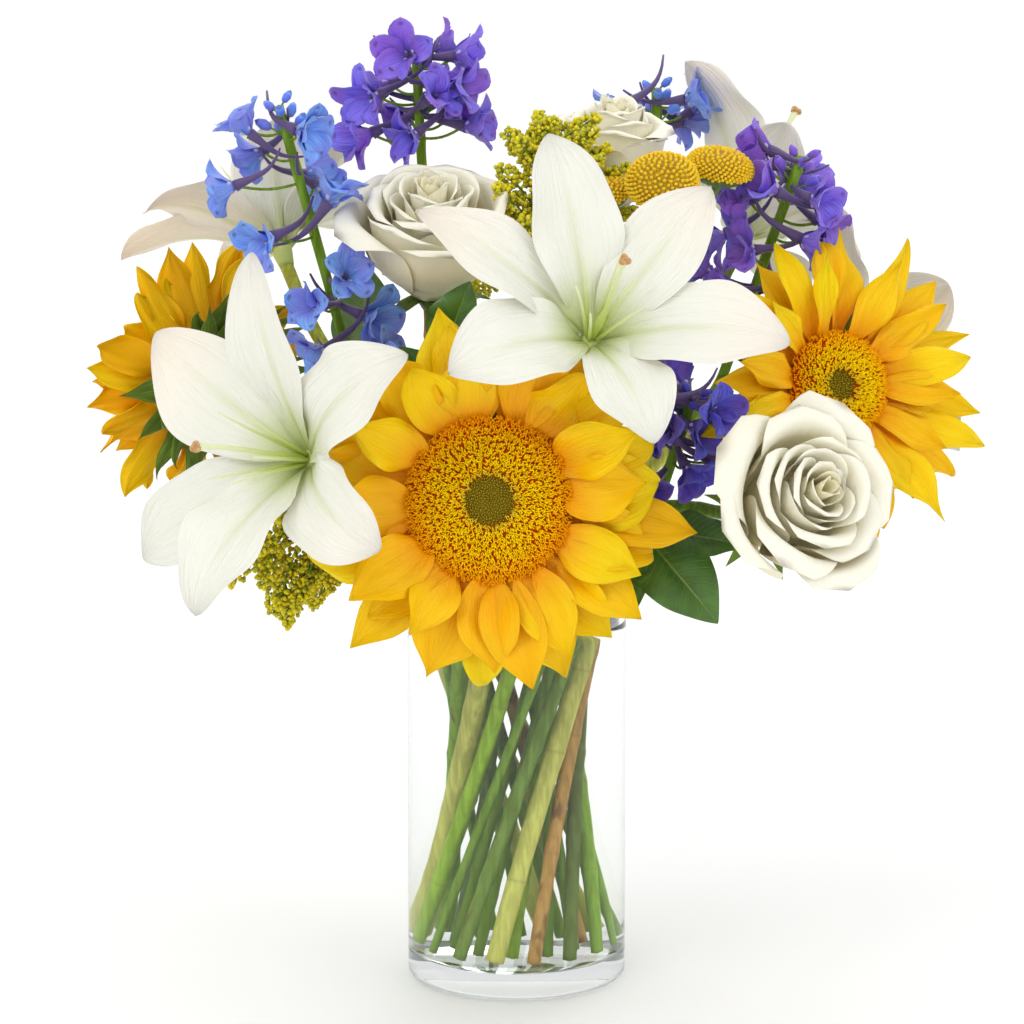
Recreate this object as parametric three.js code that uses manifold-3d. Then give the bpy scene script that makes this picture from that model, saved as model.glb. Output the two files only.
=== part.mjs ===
// A cut-flower arrangement in a clear glass cylinder vase: three sunflowers, five white lilies, three white
// roses, four delphinium spikes, goldenrod, button chrysanthemums and leaves, their stems crossing in water.
//
// Millimetres, +Z up. The origin is the middle of the vase's foot, on the surface it stands on; -Y is the
// front of the arrangement and +X is its right. Every head faces along its own +Z: a head's own +X is its
// right as seen by somebody it faces, and its own +Y is its upper side.

import * as THREE from "three";
import { ParametricGeometry } from "three/addons/geometries/ParametricGeometry.js";
import { mergeVertices } from "three/addons/utils/BufferGeometryUtils.js";
import Module from "manifold-3d";

const wasm = await Module();
wasm.setup();

// ---------------------------------------------------------------- driving dimensions

const GAP = 0.4; // clearance between pieces that touch in the real arrangement

const VASE_HEIGHT = 203;
const VASE_RADIUS = 50.8;
const VASE_WALL = 3;
const VASE_FLOOR = 12.5; // thick foot of solid glass
const VASE_HEEL = 4; // rounding where the wall meets the foot
const VASE_CORNER = 3; // rounding inside, between the wall and the floor
const VASE_SIDES = 36;
const WATER_LEVEL = 168.5;
const WATER_SIDES = 32;
const WATER_CUT_SIDES = 7; // of the channel that a stem takes through the water

// Stems stand in the vase as straight lines that all lean the same way round, as a florist spirals a
// bunch: the stems of one ring lie on a hyperboloid, so they pass each other without meeting.
const WAIST_HEIGHT = (VASE_FLOOR + VASE_HEIGHT) / 2; // where the bunch is tightest
const STEM_FOOT = 1; // clearance under a cut stem end
const STEM_SPREAD = VASE_RADIUS - VASE_WALL - 8.5; // of the outer stems' feet, short of the glass
const OUTER_RING = { count: 14, waist: 23, foot: STEM_SPREAD, first: -100 };
const INNER_RING = { count: 10, waist: 12, foot: STEM_SPREAD * 0.64, first: -80 };

const STEM_SIDES = 6;
const STEM_STEPS = 11;

// ---------------------------------------------------------------- colours

const COLOURS = {
  glass: 0xeaf3f0,
  water: 0xdff0ec,
  green_stem: 0x7f9a3a,
  pale_stem: 0xb9bb62,
  sunflower_petal: 0xf6b80a,
  sunflower_disc: 0xc46a0c,
  bract: 0x4f6a22,
  lily_petal: 0xf1f2e4,
  lily_pistil: 0xcfd98a,
  rose_petal: 0xf4f0dc,
  delphinium_blue: 0x4f7fe0,
  delphinium_purple: 0x6a4fc0,
  delphinium_indigo: 0x2c2f96,
  goldenrod: 0xb9a515,
  button: 0xf2c40c,
  leaf: 0x3d5f22,
};

const FINISHES = Object.fromEntries(
  Object.entries(COLOURS).map(([name, color]) => {
    const clear = name === "glass" || name === "water";
    const look = clear
      ? { roughness: 0.03, transparent: true, opacity: 0.35 }
      : { roughness: 0.6 };
    return [name, new THREE.MeshStandardMaterial({ color, metalness: 0, ...look })];
  }),
);

// ---------------------------------------------------------------- small helpers

const radians = THREE.MathUtils.degToRad;
const point = (x, y, z) => new THREE.Vector3(x, y, z);

// A point over the level of the vase's rim, where the flowers are placed.
const over = (x, y, rise) => point(x, y, VASE_HEIGHT + rise);

const bouquet = new THREE.Group();

function add(name, geometry, finish) {
  const mesh = new THREE.Mesh(geometry, FINISHES[finish]);
  mesh.name = name;
  bouquet.add(mesh);
  return mesh;
}

// The turn and place that carry a head's own frame into the arrangement.
function headMatrix(at, faces) {
  const forward = faces.clone().normalize();
  const right = point(0, 0, 1).cross(forward).normalize();
  const up = forward.clone().cross(right);
  return new THREE.Matrix4().makeBasis(right, up, forward).setPosition(at);
}

function toSolid(geometry) {
  const bare = geometry.clone();
  bare.deleteAttribute("normal");
  bare.deleteAttribute("uv");
  const merged = mergeVertices(bare, 1e-4);
  return new wasm.Manifold(
    new wasm.Mesh({
      numProp: 3,
      vertProperties: merged.attributes.position.array,
      triVerts: new Uint32Array(merged.index.array),
    }),
  );
}

function toGeometry(solid) {
  const mesh = solid.getMesh();
  const geometry = new THREE.BufferGeometry();
  geometry.setAttribute("position", new THREE.BufferAttribute(mesh.vertProperties, 3));
  geometry.setIndex(new THREE.BufferAttribute(mesh.triVerts, 1));
  return geometry;
}

// One solid from pieces that grow into each other.
function grownTogether(geometries) {
  return toGeometry(geometries.map(toSolid).reduce((sum, solid) => sum.add(solid)));
}

function lathe(profile, sides) {
  return new THREE.LatheGeometry(
    profile.map(([r, z]) => new THREE.Vector2(r, z)),
    sides,
  ).rotateX(Math.PI / 2);
}

function tube(curve, radius, sides = STEM_SIDES, steps = STEM_STEPS) {
  const ring = new THREE.Shape(
    Array.from({ length: sides }, (_, i) => {
      const a = (2 * Math.PI * i) / sides;
      return new THREE.Vector2(radius * Math.cos(a), radius * Math.sin(a));
    }),
  );
  return new THREE.ExtrudeGeometry(ring, { steps, extrudePath: curve, bevelEnabled: false });
}

const line = (a, b) => new THREE.LineCurve3(a, b);

// ---------------------------------------------------------------- petals and leaves

// A blade is a thin lens-shaped solid carried along an arc. In the head's own frame it starts at radius
// `from` and height `rise`, leaves at `opens` degrees from the head's axis and turns evenly to `turns`
// degrees over its length. `width` is its widest, at the share `belly` of its length; `cup` lifts its
// edges by that share of the half width.
function blade(shape, thick, rings, slices = 4) {
  const { angle, from = 0, rise = 0, opens, turns, length, width, belly, cup } = shape;
  const a0 = radians(opens);
  const bend = radians(turns - opens);
  const out = point(Math.cos(radians(angle)), Math.sin(radians(angle)), 0);
  const side = point(-out.y, out.x, 0);
  const axis = point(0, 0, 1);
  const power = Math.log(0.5) / Math.log(belly);
  const place = (u) => {
    const a = a0 + bend * u;
    const radial = Math.abs(bend) < 1e-6 ? Math.sin(a0) * u : (Math.cos(a0) - Math.cos(a)) / bend;
    const axial = Math.abs(bend) < 1e-6 ? Math.cos(a0) * u : (Math.sin(a) - Math.sin(a0)) / bend;
    const middle = out.clone().multiplyScalar(from + length * radial);
    const normal = out.clone().multiplyScalar(-Math.cos(a));
    return {
      middle: middle.addScaledVector(axis, rise + length * axial),
      normal: normal.addScaledVector(axis, Math.sin(a)),
      half: (width / 2) * Math.sin(Math.PI * Math.pow(u, power)),
    };
  };
  const surface = (v, u, target) => {
    const { middle, normal, half } = place(u);
    const across = Math.cos(2 * Math.PI * v);
    const bulge = Math.sin(2 * Math.PI * v) * Math.sin(Math.PI * u) ** 0.3;
    const lift = cup * half * across * across + (thick / 2) * bulge;
    target.copy(middle);
    target.addScaledVector(side, half * across);
    target.addScaledVector(normal, lift);
  };
  return new ParametricGeometry(surface, slices, rings);
}

const PETAL_THICK = 1.4;

// ---------------------------------------------------------------- stems

// The straight line of a stem in the vase: its place at height z.
function stemLine(ring, slot) {
  const lean = Math.sqrt(ring.foot ** 2 - ring.waist ** 2) / (WAIST_HEIGHT - VASE_FLOOR);
  const angle = radians(ring.first + (360 * slot) / ring.count);
  // The line passes the waist circle square to its radius, so that it reaches `angle` at the rim.
  const swing = ring.waist ? Math.atan2(lean * (VASE_HEIGHT - WAIST_HEIGHT), ring.waist) : 0;
  const waist = angle - swing;
  return (z) =>
    point(
      ring.waist * Math.cos(waist) - lean * (z - WAIST_HEIGHT) * Math.sin(waist),
      ring.waist * Math.sin(waist) + lean * (z - WAIST_HEIGHT) * Math.cos(waist),
      z,
    );
}

// A whole stem: straight up the vase, then one smooth curve that meets the head's back square on.
function stemCurve({ ring, slot, radius, foot = 0, pull = 0.42, push = 0.42 }, end, faces, via = []) {
  const along = stemLine(ring, slot);
  const start = along(VASE_FLOOR + STEM_FOOT + radius * 0.6 + foot);
  const leave = along(VASE_HEIGHT);
  const heading = leave.clone().sub(start).normalize();
  const path = new THREE.CurvePath();
  path.add(line(start, leave));
  let from = leave;
  let going = heading;
  const stops = [...via, { at: end, faces }];
  for (const stop of stops) {
    const reach = from.distanceTo(stop.at);
    const towards = stop.faces.clone().normalize();
    path.add(
      new THREE.CubicBezierCurve3(
        from,
        from.clone().addScaledVector(going, reach * pull),
        stop.at.clone().addScaledVector(towards, -reach * push),
        stop.at,
      ),
    );
    from = stop.at;
    going = towards;
  }
  return path;
}

// ---------------------------------------------------------------- vase and water

function vase() {
  const inner = VASE_RADIUS - VASE_WALL;
  const heel = [0, 1, 2].map((i) => {
    const a = (Math.PI / 2) * (i / 2);
    return [VASE_RADIUS - VASE_HEEL + VASE_HEEL * Math.sin(a), VASE_HEEL - VASE_HEEL * Math.cos(a)];
  });
  const lip = VASE_WALL / 2;
  const rim = [0, 1, 2, 3].map((i) => {
    const a = (Math.PI * i) / 3;
    return [VASE_RADIUS - lip + lip * Math.cos(a), VASE_HEIGHT - lip + lip * Math.sin(a)];
  });
  const corner = VASE_CORNER;
  const bowl = [0, 1, 2].map((i) => {
    const a = (Math.PI / 2) * (i / 2);
    return [inner - corner + corner * Math.cos(a), VASE_FLOOR + corner - corner * Math.sin(a)];
  });
  return lathe([[0, 0], ...heel, ...rim, ...bowl, [0, VASE_FLOOR]], VASE_SIDES);
}

function water(stems) {
  const radius = VASE_RADIUS - VASE_WALL - GAP - VASE_RADIUS * (1 - Math.cos(Math.PI / VASE_SIDES));
  const corner = VASE_CORNER + GAP;
  const body = lathe(
    [
      [0, VASE_FLOOR + GAP],
      [radius - corner, VASE_FLOOR + GAP],
      [radius, VASE_FLOOR + GAP + corner],
      [radius, WATER_LEVEL],
      [0, WATER_LEVEL],
    ],
    WATER_SIDES,
  );
  const channels = stems.map(toSolid);
  return toGeometry(channels.reduce((rest, channel) => rest.subtract(channel), toSolid(body)));
}

const wetStems = []; // the stems again, a gap thicker, to be cut out of the water

function stem(name, spec, end, faces, finish, via = [], extras = []) {
  const curve = stemCurve(spec, end, faces, via);
  add(name, grownTogether([tube(curve, spec.radius, spec.sides, spec.steps), ...extras]), finish);
  const along = stemLine(spec.ring, spec.slot);
  const foot = curve.getPoint(0);
  const down = along(0).sub(along(1)).normalize();
  const below = foot.clone().addScaledVector(down, GAP);
  const clear = (spec.radius + GAP) / Math.cos(Math.PI / WATER_CUT_SIDES);
  wetStems.push(tube(line(below, along(WATER_LEVEL + 4)), clear, WATER_CUT_SIDES, 1));
}

// ---------------------------------------------------------------- sunflowers

const SUNFLOWERS = {
  centre: {
    at: over(-12, -106, 43),
    faces: point(0.03, -0.99, 0.11),
    disc: 35,
    petals: 24,
    length: 50,
    width: 24,
    opens: 76,
    turns: 90,
    stem: { ring: OUTER_RING, slot: 0, radius: 5 },
  },
  right: {
    at: over(147, -38, 83),
    faces: point(0.42, -0.87, 0.24),
    disc: 23,
    petals: 20,
    length: 48,
    width: 19,
    opens: 68,
    turns: 86,
    stem: { ring: OUTER_RING, slot: 4, radius: 4.6 },
  },
  left: {
    at: over(-149, 8, 80),
    faces: point(-0.68, 0.7, 0.2),
    disc: 23,
    petals: 20,
    length: 46,
    width: 18,
    opens: 62,
    turns: 80,
    stem: { ring: OUTER_RING, slot: 11, radius: 4.6 },
  },
};

const DISC_DEEP = 9; // height of the florets over the head's back plate
const HEAD_SEAT = 9; // of the florets' foot, behind the head's own origin
const PLATE = 2; // the plate that the ray petals grow from
const CALYX_DEEP = 11;

function sunflower(side, spec) {
  const name = `sunflower_${side}`;
  const frame = headMatrix(spec.at, spec.faces);
  const r = spec.disc;
  const face = DISC_DEEP - HEAD_SEAT;
  const disc = lathe(
    [
      [0, -HEAD_SEAT],
      [r - 4, -HEAD_SEAT],
      [r, DISC_DEEP * 0.5 - HEAD_SEAT],
      [r * 0.86, face - 1],
      [r * 0.6, face],
      [r * 0.3, face - 1.2],
      [0, face - 2],
    ],
    20,
  );
  add(`${name}_disc`, disc.applyMatrix4(frame), "sunflower_disc");

  const plateTop = -HEAD_SEAT - GAP;
  const plate = lathe(
    [
      [0, plateTop - PLATE],
      [r - 1, plateTop - PLATE],
      [r - 1, plateTop],
      [0, plateTop],
    ],
    24,
  );
  const rays = Array.from({ length: spec.petals }, (_, i) => {
    const back = i % 2;
    return blade(
      {
        angle: (360 * (i + 0.5)) / spec.petals,
        from: r - 4,
        rise: plateTop - PLATE / 2,
        opens: spec.opens + 6 * back,
        turns: spec.turns + 12 * back,
        length: spec.length * (back ? 1.04 : 0.97),
        width: spec.width,
        belly: 0.45,
        cup: 0.25,
      },
      PETAL_THICK,
      4,
    );
  });
  add(`${name}_petals`, grownTogether([plate, ...rays]).applyMatrix4(frame), "sunflower_petal");

  const calyxTop = plateTop - PLATE - GAP;
  const calyxEnd = calyxTop - CALYX_DEEP;
  const dish = lathe(
    [
      [0, calyxEnd],
      [spec.stem.radius + 2, calyxEnd],
      [r * 0.8, calyxTop - 3.5],
      [r - 1, calyxTop],
      [0, calyxTop],
    ],
    18,
  );
  const bracts = Array.from({ length: 9 }, (_, i) =>
    blade(
      {
        angle: (360 * i) / 9,
        from: r * 0.72,
        rise: calyxTop - 3.6,
        opens: spec.opens + 22,
        turns: spec.turns + 24,
        length: r * 0.45 + 12,
        width: 13,
        belly: 0.3,
        cup: 0.1,
      },
      PETAL_THICK,
      3,
    ),
  );
  add(`${name}_calyx`, grownTogether([dish, ...bracts]).applyMatrix4(frame), "bract");
  const back = point(0, 0, calyxEnd - GAP).applyMatrix4(frame);
  stem(`${name}_stem`, spec.stem, back, spec.faces, "pale_stem");
}

// ---------------------------------------------------------------- lilies

// Six tepals in two whorls of three: the wide inner ones at `inner`, the narrow outer ones between them.
// Each is [angle, opens, turns, length, width].
function evenTepals(first, length) {
  return [0, 1, 2, 3, 4, 5].map((i) => {
    const outer = i % 2;
    return [first + 60 * i, 44, 96 + 6 * outer, length - 3 * outer, 38 - 6 * outer];
  });
}

const LILIES = {
  centre: {
    at: over(33, -94, 114),
    faces: point(0.19, -0.77, 0.61),
    tepals: [
      [101, 44, 68, 92, 42],
      [41, 42, 72, 84, 38],
      [-17, 38, 88, 92, 44],
      [-78, 41, 97, 72, 38],
      [-163, 43, 103, 80, 44],
      [147, 49, 89, 97, 36],
    ],
    stem: { ring: OUTER_RING, slot: 1, radius: 3.6 },
  },
  left: {
    at: over(-93, -97, 60),
    faces: point(-0.66, -0.72, 0.21),
    tepals: [
      [90, 42, 72, 101, 38],
      [146, 44, 78, 88, 52],
      [-146, 60, 100, 100, 40],
      [-99, 32, 72, 90, 44],
      [-34, 38, 136, 68, 42],
      [38, 42, 106, 94, 42],
    ],
    stem: { ring: OUTER_RING, slot: 13, radius: 3.6 },
  },
  back_left: {
    at: over(-110, 50, 133),
    faces: point(-0.3, 0.5, 0.8),
    tepals: evenTepals(20, 80),
    stem: { ring: OUTER_RING, slot: 10, radius: 3.4 },
  },
  back_right: {
    at: over(108, 68, 138),
    faces: point(0.36, 0.52, 0.77),
    tepals: evenTepals(60, 66),
    stem: { ring: OUTER_RING, slot: 6, radius: 3.4 },
  },
  far_right: {
    at: over(142, 56, 75),
    faces: point(0.76, 0.6, 0.24),
    tepals: evenTepals(30, 76),
    stem: { ring: OUTER_RING, slot: 5, radius: 3.4 },
  },
};

const THROAT = 5; // radius of the lily's throat, and depth of the solid cone under it
const PISTIL_LENGTH = 70;

function lily(side, spec) {
  const name = `lily_${side}`;
  const frame = headMatrix(spec.at, spec.faces);
  const cone = lathe(
    [
      [0, -THROAT * 2],
      [spec.stem.radius, -THROAT * 2],
      [THROAT, 0],
      [0, 0],
    ],
    12,
  );
  const root = { from: THROAT * 0.5, rise: -3, belly: 0.55, cup: 0.22 };
  const tepals = spec.tepals.map(([angle, opens, turns, length, width]) =>
    blade({ ...root, angle, opens, turns, length, width }, PETAL_THICK, 5, 6),
  );
  add(`${name}_petals`, grownTogether([cone, ...tepals]).applyMatrix4(frame), "lily_petal");
  const pistil = lathe(
    [
      [0, GAP],
      [2.2, GAP],
      [1.5, 18],
      [1.3, PISTIL_LENGTH - 6],
      [3.4, PISTIL_LENGTH - 2.5],
      [3, PISTIL_LENGTH],
      [0, PISTIL_LENGTH],
    ],
    8,
  );
  add(`${name}_pistil`, pistil.applyMatrix4(frame), "lily_pistil");
  const back = point(0, 0, -THROAT * 2 - GAP).applyMatrix4(frame);
  stem(`${name}_stem`, spec.stem, back, spec.faces, "green_stem");
}

// ---------------------------------------------------------------- roses

const ROSES = {
  upper_left: {
    at: over(-39, -18, 151),
    faces: point(0.02, -0.34, 0.94),
    radius: 29,
    stem: { ring: INNER_RING, slot: 6, radius: 3 },
  },
  right: {
    at: over(121, -109, 36),
    faces: point(0.34, -0.92, 0.18),
    radius: 31,
    stem: { ring: OUTER_RING, slot: 3, radius: 3.4 },
  },
  back: {
    at: over(44, 26, 183),
    faces: point(0.1, -0.12, 0.98),
    radius: 27,
    stem: { ring: INNER_RING, slot: 3, radius: 3 },
  },
  low_back: {
    at: over(14, 106, 59),
    faces: point(0.05, 0.95, 0.3),
    radius: 29,
    stem: { ring: OUTER_RING, slot: 7, radius: 3.4 },
  },
};

function rose(side, spec) {
  const name = `rose_${side}`;
  const frame = headMatrix(spec.at, spec.faces);
  const r = spec.radius;
  const bud = lathe(
    [
      [0, -r * 1.1],
      [r * 0.35, -r * 1.08],
      [r * 0.82, -r * 0.6],
      [r * 0.98, 0],
      [r * 0.88, r * 0.62],
      [r * 0.6, r * 0.86],
      [r * 0.25, r * 0.8],
      [0, r * 0.7],
    ],
    12,
  );
  const guards = Array.from({ length: 5 }, (_, i) =>
    blade(
      {
        angle: 72 * i + 20,
        from: r * 0.3,
        rise: -r * 1.02,
        opens: 66,
        turns: 8,
        length: r * 1.9,
        width: r * 1.45,
        belly: 0.6,
        cup: 0.3,
      },
      PETAL_THICK,
      5,
    ),
  );
  add(`${name}_bloom`, grownTogether([bud, ...guards]).applyMatrix4(frame), "rose_petal");
  const hipTop = -r * 1.1 - GAP;
  const hip = lathe(
    [
      [0, hipTop - 9],
      [spec.stem.radius, hipTop - 9],
      [5.5, hipTop - 4],
      [4.6, hipTop],
      [0, hipTop],
    ],
    10,
  );
  const sepals = Array.from({ length: 5 }, (_, i) =>
    blade(
      {
        angle: 72 * i,
        from: 2,
        rise: hipTop - 1.6,
        opens: 97,
        turns: 118,
        length: 24,
        width: 7,
        belly: 0.35,
        cup: 0.1,
      },
      1.2,
      3,
    ),
  );
  add(`${name}_sepals`, grownTogether([hip, ...sepals]).applyMatrix4(frame), "bract");
  const back = point(0, 0, hipTop - 9 - GAP).applyMatrix4(frame);
  stem(`${name}_stem`, spec.stem, back, spec.faces, "green_stem");
}

// ---------------------------------------------------------------- delphiniums

// Each spike is a stem that goes on, straight, from `base` to `tip`. A floret is [height of its stalk's
// root over the base, degrees round the spike, length of its stalk], and opens away from the spike.
const DELPHINIUMS = {
  left: {
    finish: "delphinium_blue",
    base: over(-86, -20, 129),
    tip: over(-107, -20, 207),
    stem: { ring: INNER_RING, slot: 7, radius: 2.6, steps: 16 },
    florets: [
      [-14, -102, 26],
      [-5, -67, 27],
      [20, -129, 30],
      [31, -49, 19],
      [43, 80, 15],
      [45, -156, 33],
      [56, 132, 23],
      [66, -58, 14],
    ],
  },
  top: {
    finish: "delphinium_purple",
    base: over(-44, 28, 183),
    tip: over(-46, 28, 225),
    stem: { ring: INNER_RING, slot: 5, radius: 2.6, steps: 16 },
    florets: [
      [2, -150, 28],
      [4, -20, 24],
      [6, 102, 24],
      [20, -142, 26],
      [18, 62, 22],
      [23, -35, 24],
      [36, 10, 20],
      [40, -100, 16],
    ],
  },
  back_right: {
    finish: "delphinium_blue",
    base: over(66, 88, 175),
    tip: over(66, 88, 203),
    stem: { ring: INNER_RING, slot: 4, radius: 2.6, steps: 13 },
    florets: [
      [-10, 110, 22],
      [8, 60, 20],
      [17, -137, 22],
      [20, -30, 18],
    ],
  },
  right: {
    finish: "delphinium_purple",
    base: over(103, 3, 104),
    tip: over(130, 5, 181),
    stem: { ring: INNER_RING, slot: 2, radius: 2.6, steps: 18 },
    florets: [
      [10, -125, 20],
      [12, -171, 24],
      [16, 60, 22],
      [31, -118, 20],
      [30, 160, 24],
      [43, -48, 19],
      [51, -157, 20],
      [62, -55, 19],
      [69, 89, 19],
    ],
  },
  low_right: {
    finish: "delphinium_indigo",
    base: over(66, -50, 39),
    tip: over(79, -62, 82),
    stem: { ring: INNER_RING, slot: 1, radius: 2.6, steps: 13 },
    florets: [
      [2, -120, 14],
      [14, -60, 14],
      [26, -110, 14],
      [34, -80, 12],
      [42, -150, 12],
    ],
  },
};

const FLORET_WIDE = 15; // radius of an open floret
const FLORET_LIFT = 0.25; // how far a floret's stalk leans up the spike, as a share of its length

function floret(at, faces) {
  const r = FLORET_WIDE;
  const bell = lathe(
    [
      [0, -3],
      [3.2, -3],
      [r, 4.5],
      [r * 0.8, 5.5],
      [0, 2],
    ],
    5,
  );
  return bell.applyMatrix4(headMatrix(at, faces));
}

function delphinium(side, spec) {
  const along = spec.tip.clone().sub(spec.base).normalize();
  const right = point(0, 1, 0).cross(along).normalize();
  const depth = along.clone().cross(right);
  const extras = spec.florets.flatMap(([height, turn, reach]) => {
    const root = spec.base.clone().addScaledVector(along, height);
    const away = right
      .clone()
      .multiplyScalar(Math.cos(radians(turn)))
      .addScaledVector(depth, Math.sin(radians(turn)))
      .addScaledVector(along, FLORET_LIFT)
      .normalize();
    const head = root.clone().addScaledVector(away, reach);
    return [tube(line(root, head), 0.9, 4, 1), floret(head, away)];
  });
  const via = [{ at: spec.base.clone().addScaledVector(along, -20), faces: along }];
  stem(`delphinium_${side}`, spec.stem, spec.tip, along, spec.finish, via, extras);
}

// ---------------------------------------------------------------- goldenrod

// A plume is a stem with tapering side sprays: [distance back from its tip, degrees round it, length].
const GOLDENRODS = {
  top: {
    via: [],
    tip: over(10, -6, 201),
    faces: point(0.02, -0.05, 1),
    stem: { ring: INNER_RING, slot: 9, radius: 1.8 },
    sprays: [
      [72, -100, 22],
      [56, -60, 30],
      [48, 160, 16],
      [36, -12, 42],
      [24, -120, 22],
      [16, 60, 20],
    ],
  },
  low_left: {
    via: [{ at: over(-66, -44, 29), faces: point(-0.8, -0.3, 0.05) }],
    tip: over(-126, -58, 1),
    faces: point(-0.75, -0.1, -0.6),
    stem: { ring: OUTER_RING, slot: 12, radius: 2, steps: 15 },
    sprays: [
      [71, -70, 34],
      [52, 100, 24],
      [32, -80, 26],
      [16, 60, 20],
    ],
  },
  back: {
    via: [],
    tip: over(-26, 112, 133),
    faces: point(-0.1, 0.5, 0.86),
    stem: { ring: OUTER_RING, slot: 8, radius: 2 },
    sprays: [
      [92, 180, 36],
      [71, 0, 36],
      [50, -160, 32],
      [35, 30, 30],
      [18, 120, 22],
    ],
  },
};

const TIP_SPRAY = { back: 25, length: 26 }; // the one that ends each plume

function spray(root, away, length) {
  const plume = lathe(
    [
      [0, 0],
      [1.2, 0.5],
      [5, length * 0.5],
      [0, length],
    ],
    6,
  );
  return plume.applyMatrix4(headMatrix(root, away));
}

function goldenrod(side, spec) {
  const curve = stemCurve(spec.stem, spec.tip, spec.faces, spec.via);
  const whole = curve.getLength();
  const extras = spec.sprays.map(([back, turn, length]) => {
    const share = 1 - back / whole;
    const root = curve.getPoint(share);
    const along = curve.getTangent(share);
    const right = point(0, 1, 0).cross(along).normalize();
    const depth = along.clone().cross(right);
    const away = right
      .multiplyScalar(Math.cos(radians(turn)))
      .addScaledVector(depth, Math.sin(radians(turn)))
      .addScaledVector(along, 0.9)
      .normalize();
    return spray(root, away, length);
  });
  extras.push(spray(curve.getPoint(1 - TIP_SPRAY.back / whole), spec.faces, TIP_SPRAY.length));
  stem(`goldenrod_${side}`, spec.stem, spec.tip, spec.faces, "goldenrod", spec.via, extras);
}

// ---------------------------------------------------------------- button chrysanthemums

const BUTTONS = [
  { at: over(65, -36, 175), faces: point(-0.05, -0.62, 0.78), radius: 16.5 },
  { at: over(92, -16, 179), faces: point(0.15, -0.2, 0.97), radius: 15.5 },
  { at: over(40, -22, 167), faces: point(-0.3, -0.2, 0.93), radius: 12 },
];
const BUTTON_FORK = { at: over(64, -20, 127), faces: point(0.05, -0.02, 1) };
const BUTTON_STEM = { ring: INNER_RING, slot: 0, radius: 2 };

function buttons() {
  const twigs = [];
  BUTTONS.forEach(({ at, faces, radius }, i) => {
    const frame = headMatrix(at, faces);
    const dome = lathe(
      [
        [0, -radius * 0.5],
        [radius * 0.6, -radius * 0.45],
        [radius, -radius * 0.1],
        [radius * 0.85, radius * 0.32],
        [radius * 0.45, radius * 0.5],
        [0, radius * 0.52],
      ],
      14,
    );
    add(`button_${i + 1}`, dome.applyMatrix4(frame), "button");
    const neck = point(0, 0, -radius * 0.5 - GAP).applyMatrix4(frame);
    const reach = neck.distanceTo(BUTTON_FORK.at);
    const branch = new THREE.CubicBezierCurve3(
      BUTTON_FORK.at.clone().addScaledVector(BUTTON_FORK.faces, -2),
      BUTTON_FORK.at.clone().addScaledVector(BUTTON_FORK.faces, reach * 0.4),
      neck.clone().addScaledVector(faces.clone().normalize(), -reach * 0.4),
      neck,
    );
    twigs.push(tube(branch, 1.4, 6, 5));
  });
  stem("button_stem", BUTTON_STEM, BUTTON_FORK.at, BUTTON_FORK.faces, "green_stem", [], twigs);
}

// ---------------------------------------------------------------- foliage

// Each twig stands in the vase and carries its leaves: a leaf grows at the distance `back` from the
// twig's tip along `grows`, its upper face looks towards `faces`, and it is `length` long and `width` wide.
const TWIGS = {
  right: {
    via: [],
    tip: over(62, -62, 21),
    faces: point(0.7, -0.6, 0.3),
    stem: { ring: OUTER_RING, slot: 2, radius: 2.2 },
    leaves: [
      { back: 25, grows: point(0.1, -0.6, -0.6), faces: point(-0.2, -0.7, 0.6), length: 46, width: 28 },
      { back: 8, grows: point(0.6, -0.35, -0.7), faces: point(0, -0.9, 0.4), length: 54, width: 32 },
      { back: 3, grows: point(0.9, -0.2, -0.1), faces: point(0.1, -0.6, 0.8), length: 44, width: 28 },
    ],
  },
  left: {
    via: [],
    tip: over(-34, -40, 103),
    faces: point(-0.1, -0.1, 1),
    stem: { ring: INNER_RING, slot: 8, radius: 1.8 },
    leaves: [
      { back: 30, grows: point(-0.5, -0.4, 0.7), faces: point(0, -0.8, 0.6), length: 40, width: 20 },
      { back: 6, grows: point(0.3, -0.3, 0.8), faces: point(0, -0.9, 0.4), length: 38, width: 24 },
    ],
  },
  back: {
    via: [],
    tip: over(-74, 90, 73),
    faces: point(-0.3, 0.5, 0.8),
    stem: { ring: OUTER_RING, slot: 9, radius: 2.2 },
    leaves: [
      { back: 74, grows: point(-0.4, 0.8, -0.2), faces: point(0, 0.5, 0.8), length: 56, width: 34 },
      { back: 43, grows: point(0.7, 0.7, 0.1), faces: point(0, 0.6, 0.8), length: 56, width: 34 },
      { back: 22, grows: point(-0.9, 0.4, 0), faces: point(0, 0.6, 0.8), length: 50, width: 30 },
      { back: 3, grows: point(0, 0.4, 0.9), faces: point(0, 0.9, -0.3), length: 50, width: 30 },
    ],
  },
};

function leaf(at, grows, faces, length, width) {
  const along = grows.clone().normalize();
  const up = faces.clone().addScaledVector(along, -faces.dot(along)).normalize();
  const side = up.clone().cross(along);
  const frame = new THREE.Matrix4().makeBasis(along, side, up).setPosition(at);
  const shape = { angle: 0, opens: 82, turns: 104, length, width, belly: 0.42, cup: 0.15 };
  return blade(shape, PETAL_THICK, 6).applyMatrix4(frame);
}

function twig(side, spec) {
  const curve = stemCurve(spec.stem, spec.tip, spec.faces, spec.via);
  const whole = curve.getLength();
  const leaves = spec.leaves.map(({ back, grows, faces, length, width }) =>
    leaf(curve.getPoint(1 - back / whole), grows, faces, length, width),
  );
  stem(`leafy_twig_${side}`, spec.stem, spec.tip, spec.faces, "leaf", spec.via, leaves);
}

// ---------------------------------------------------------------- the arrangement

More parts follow.
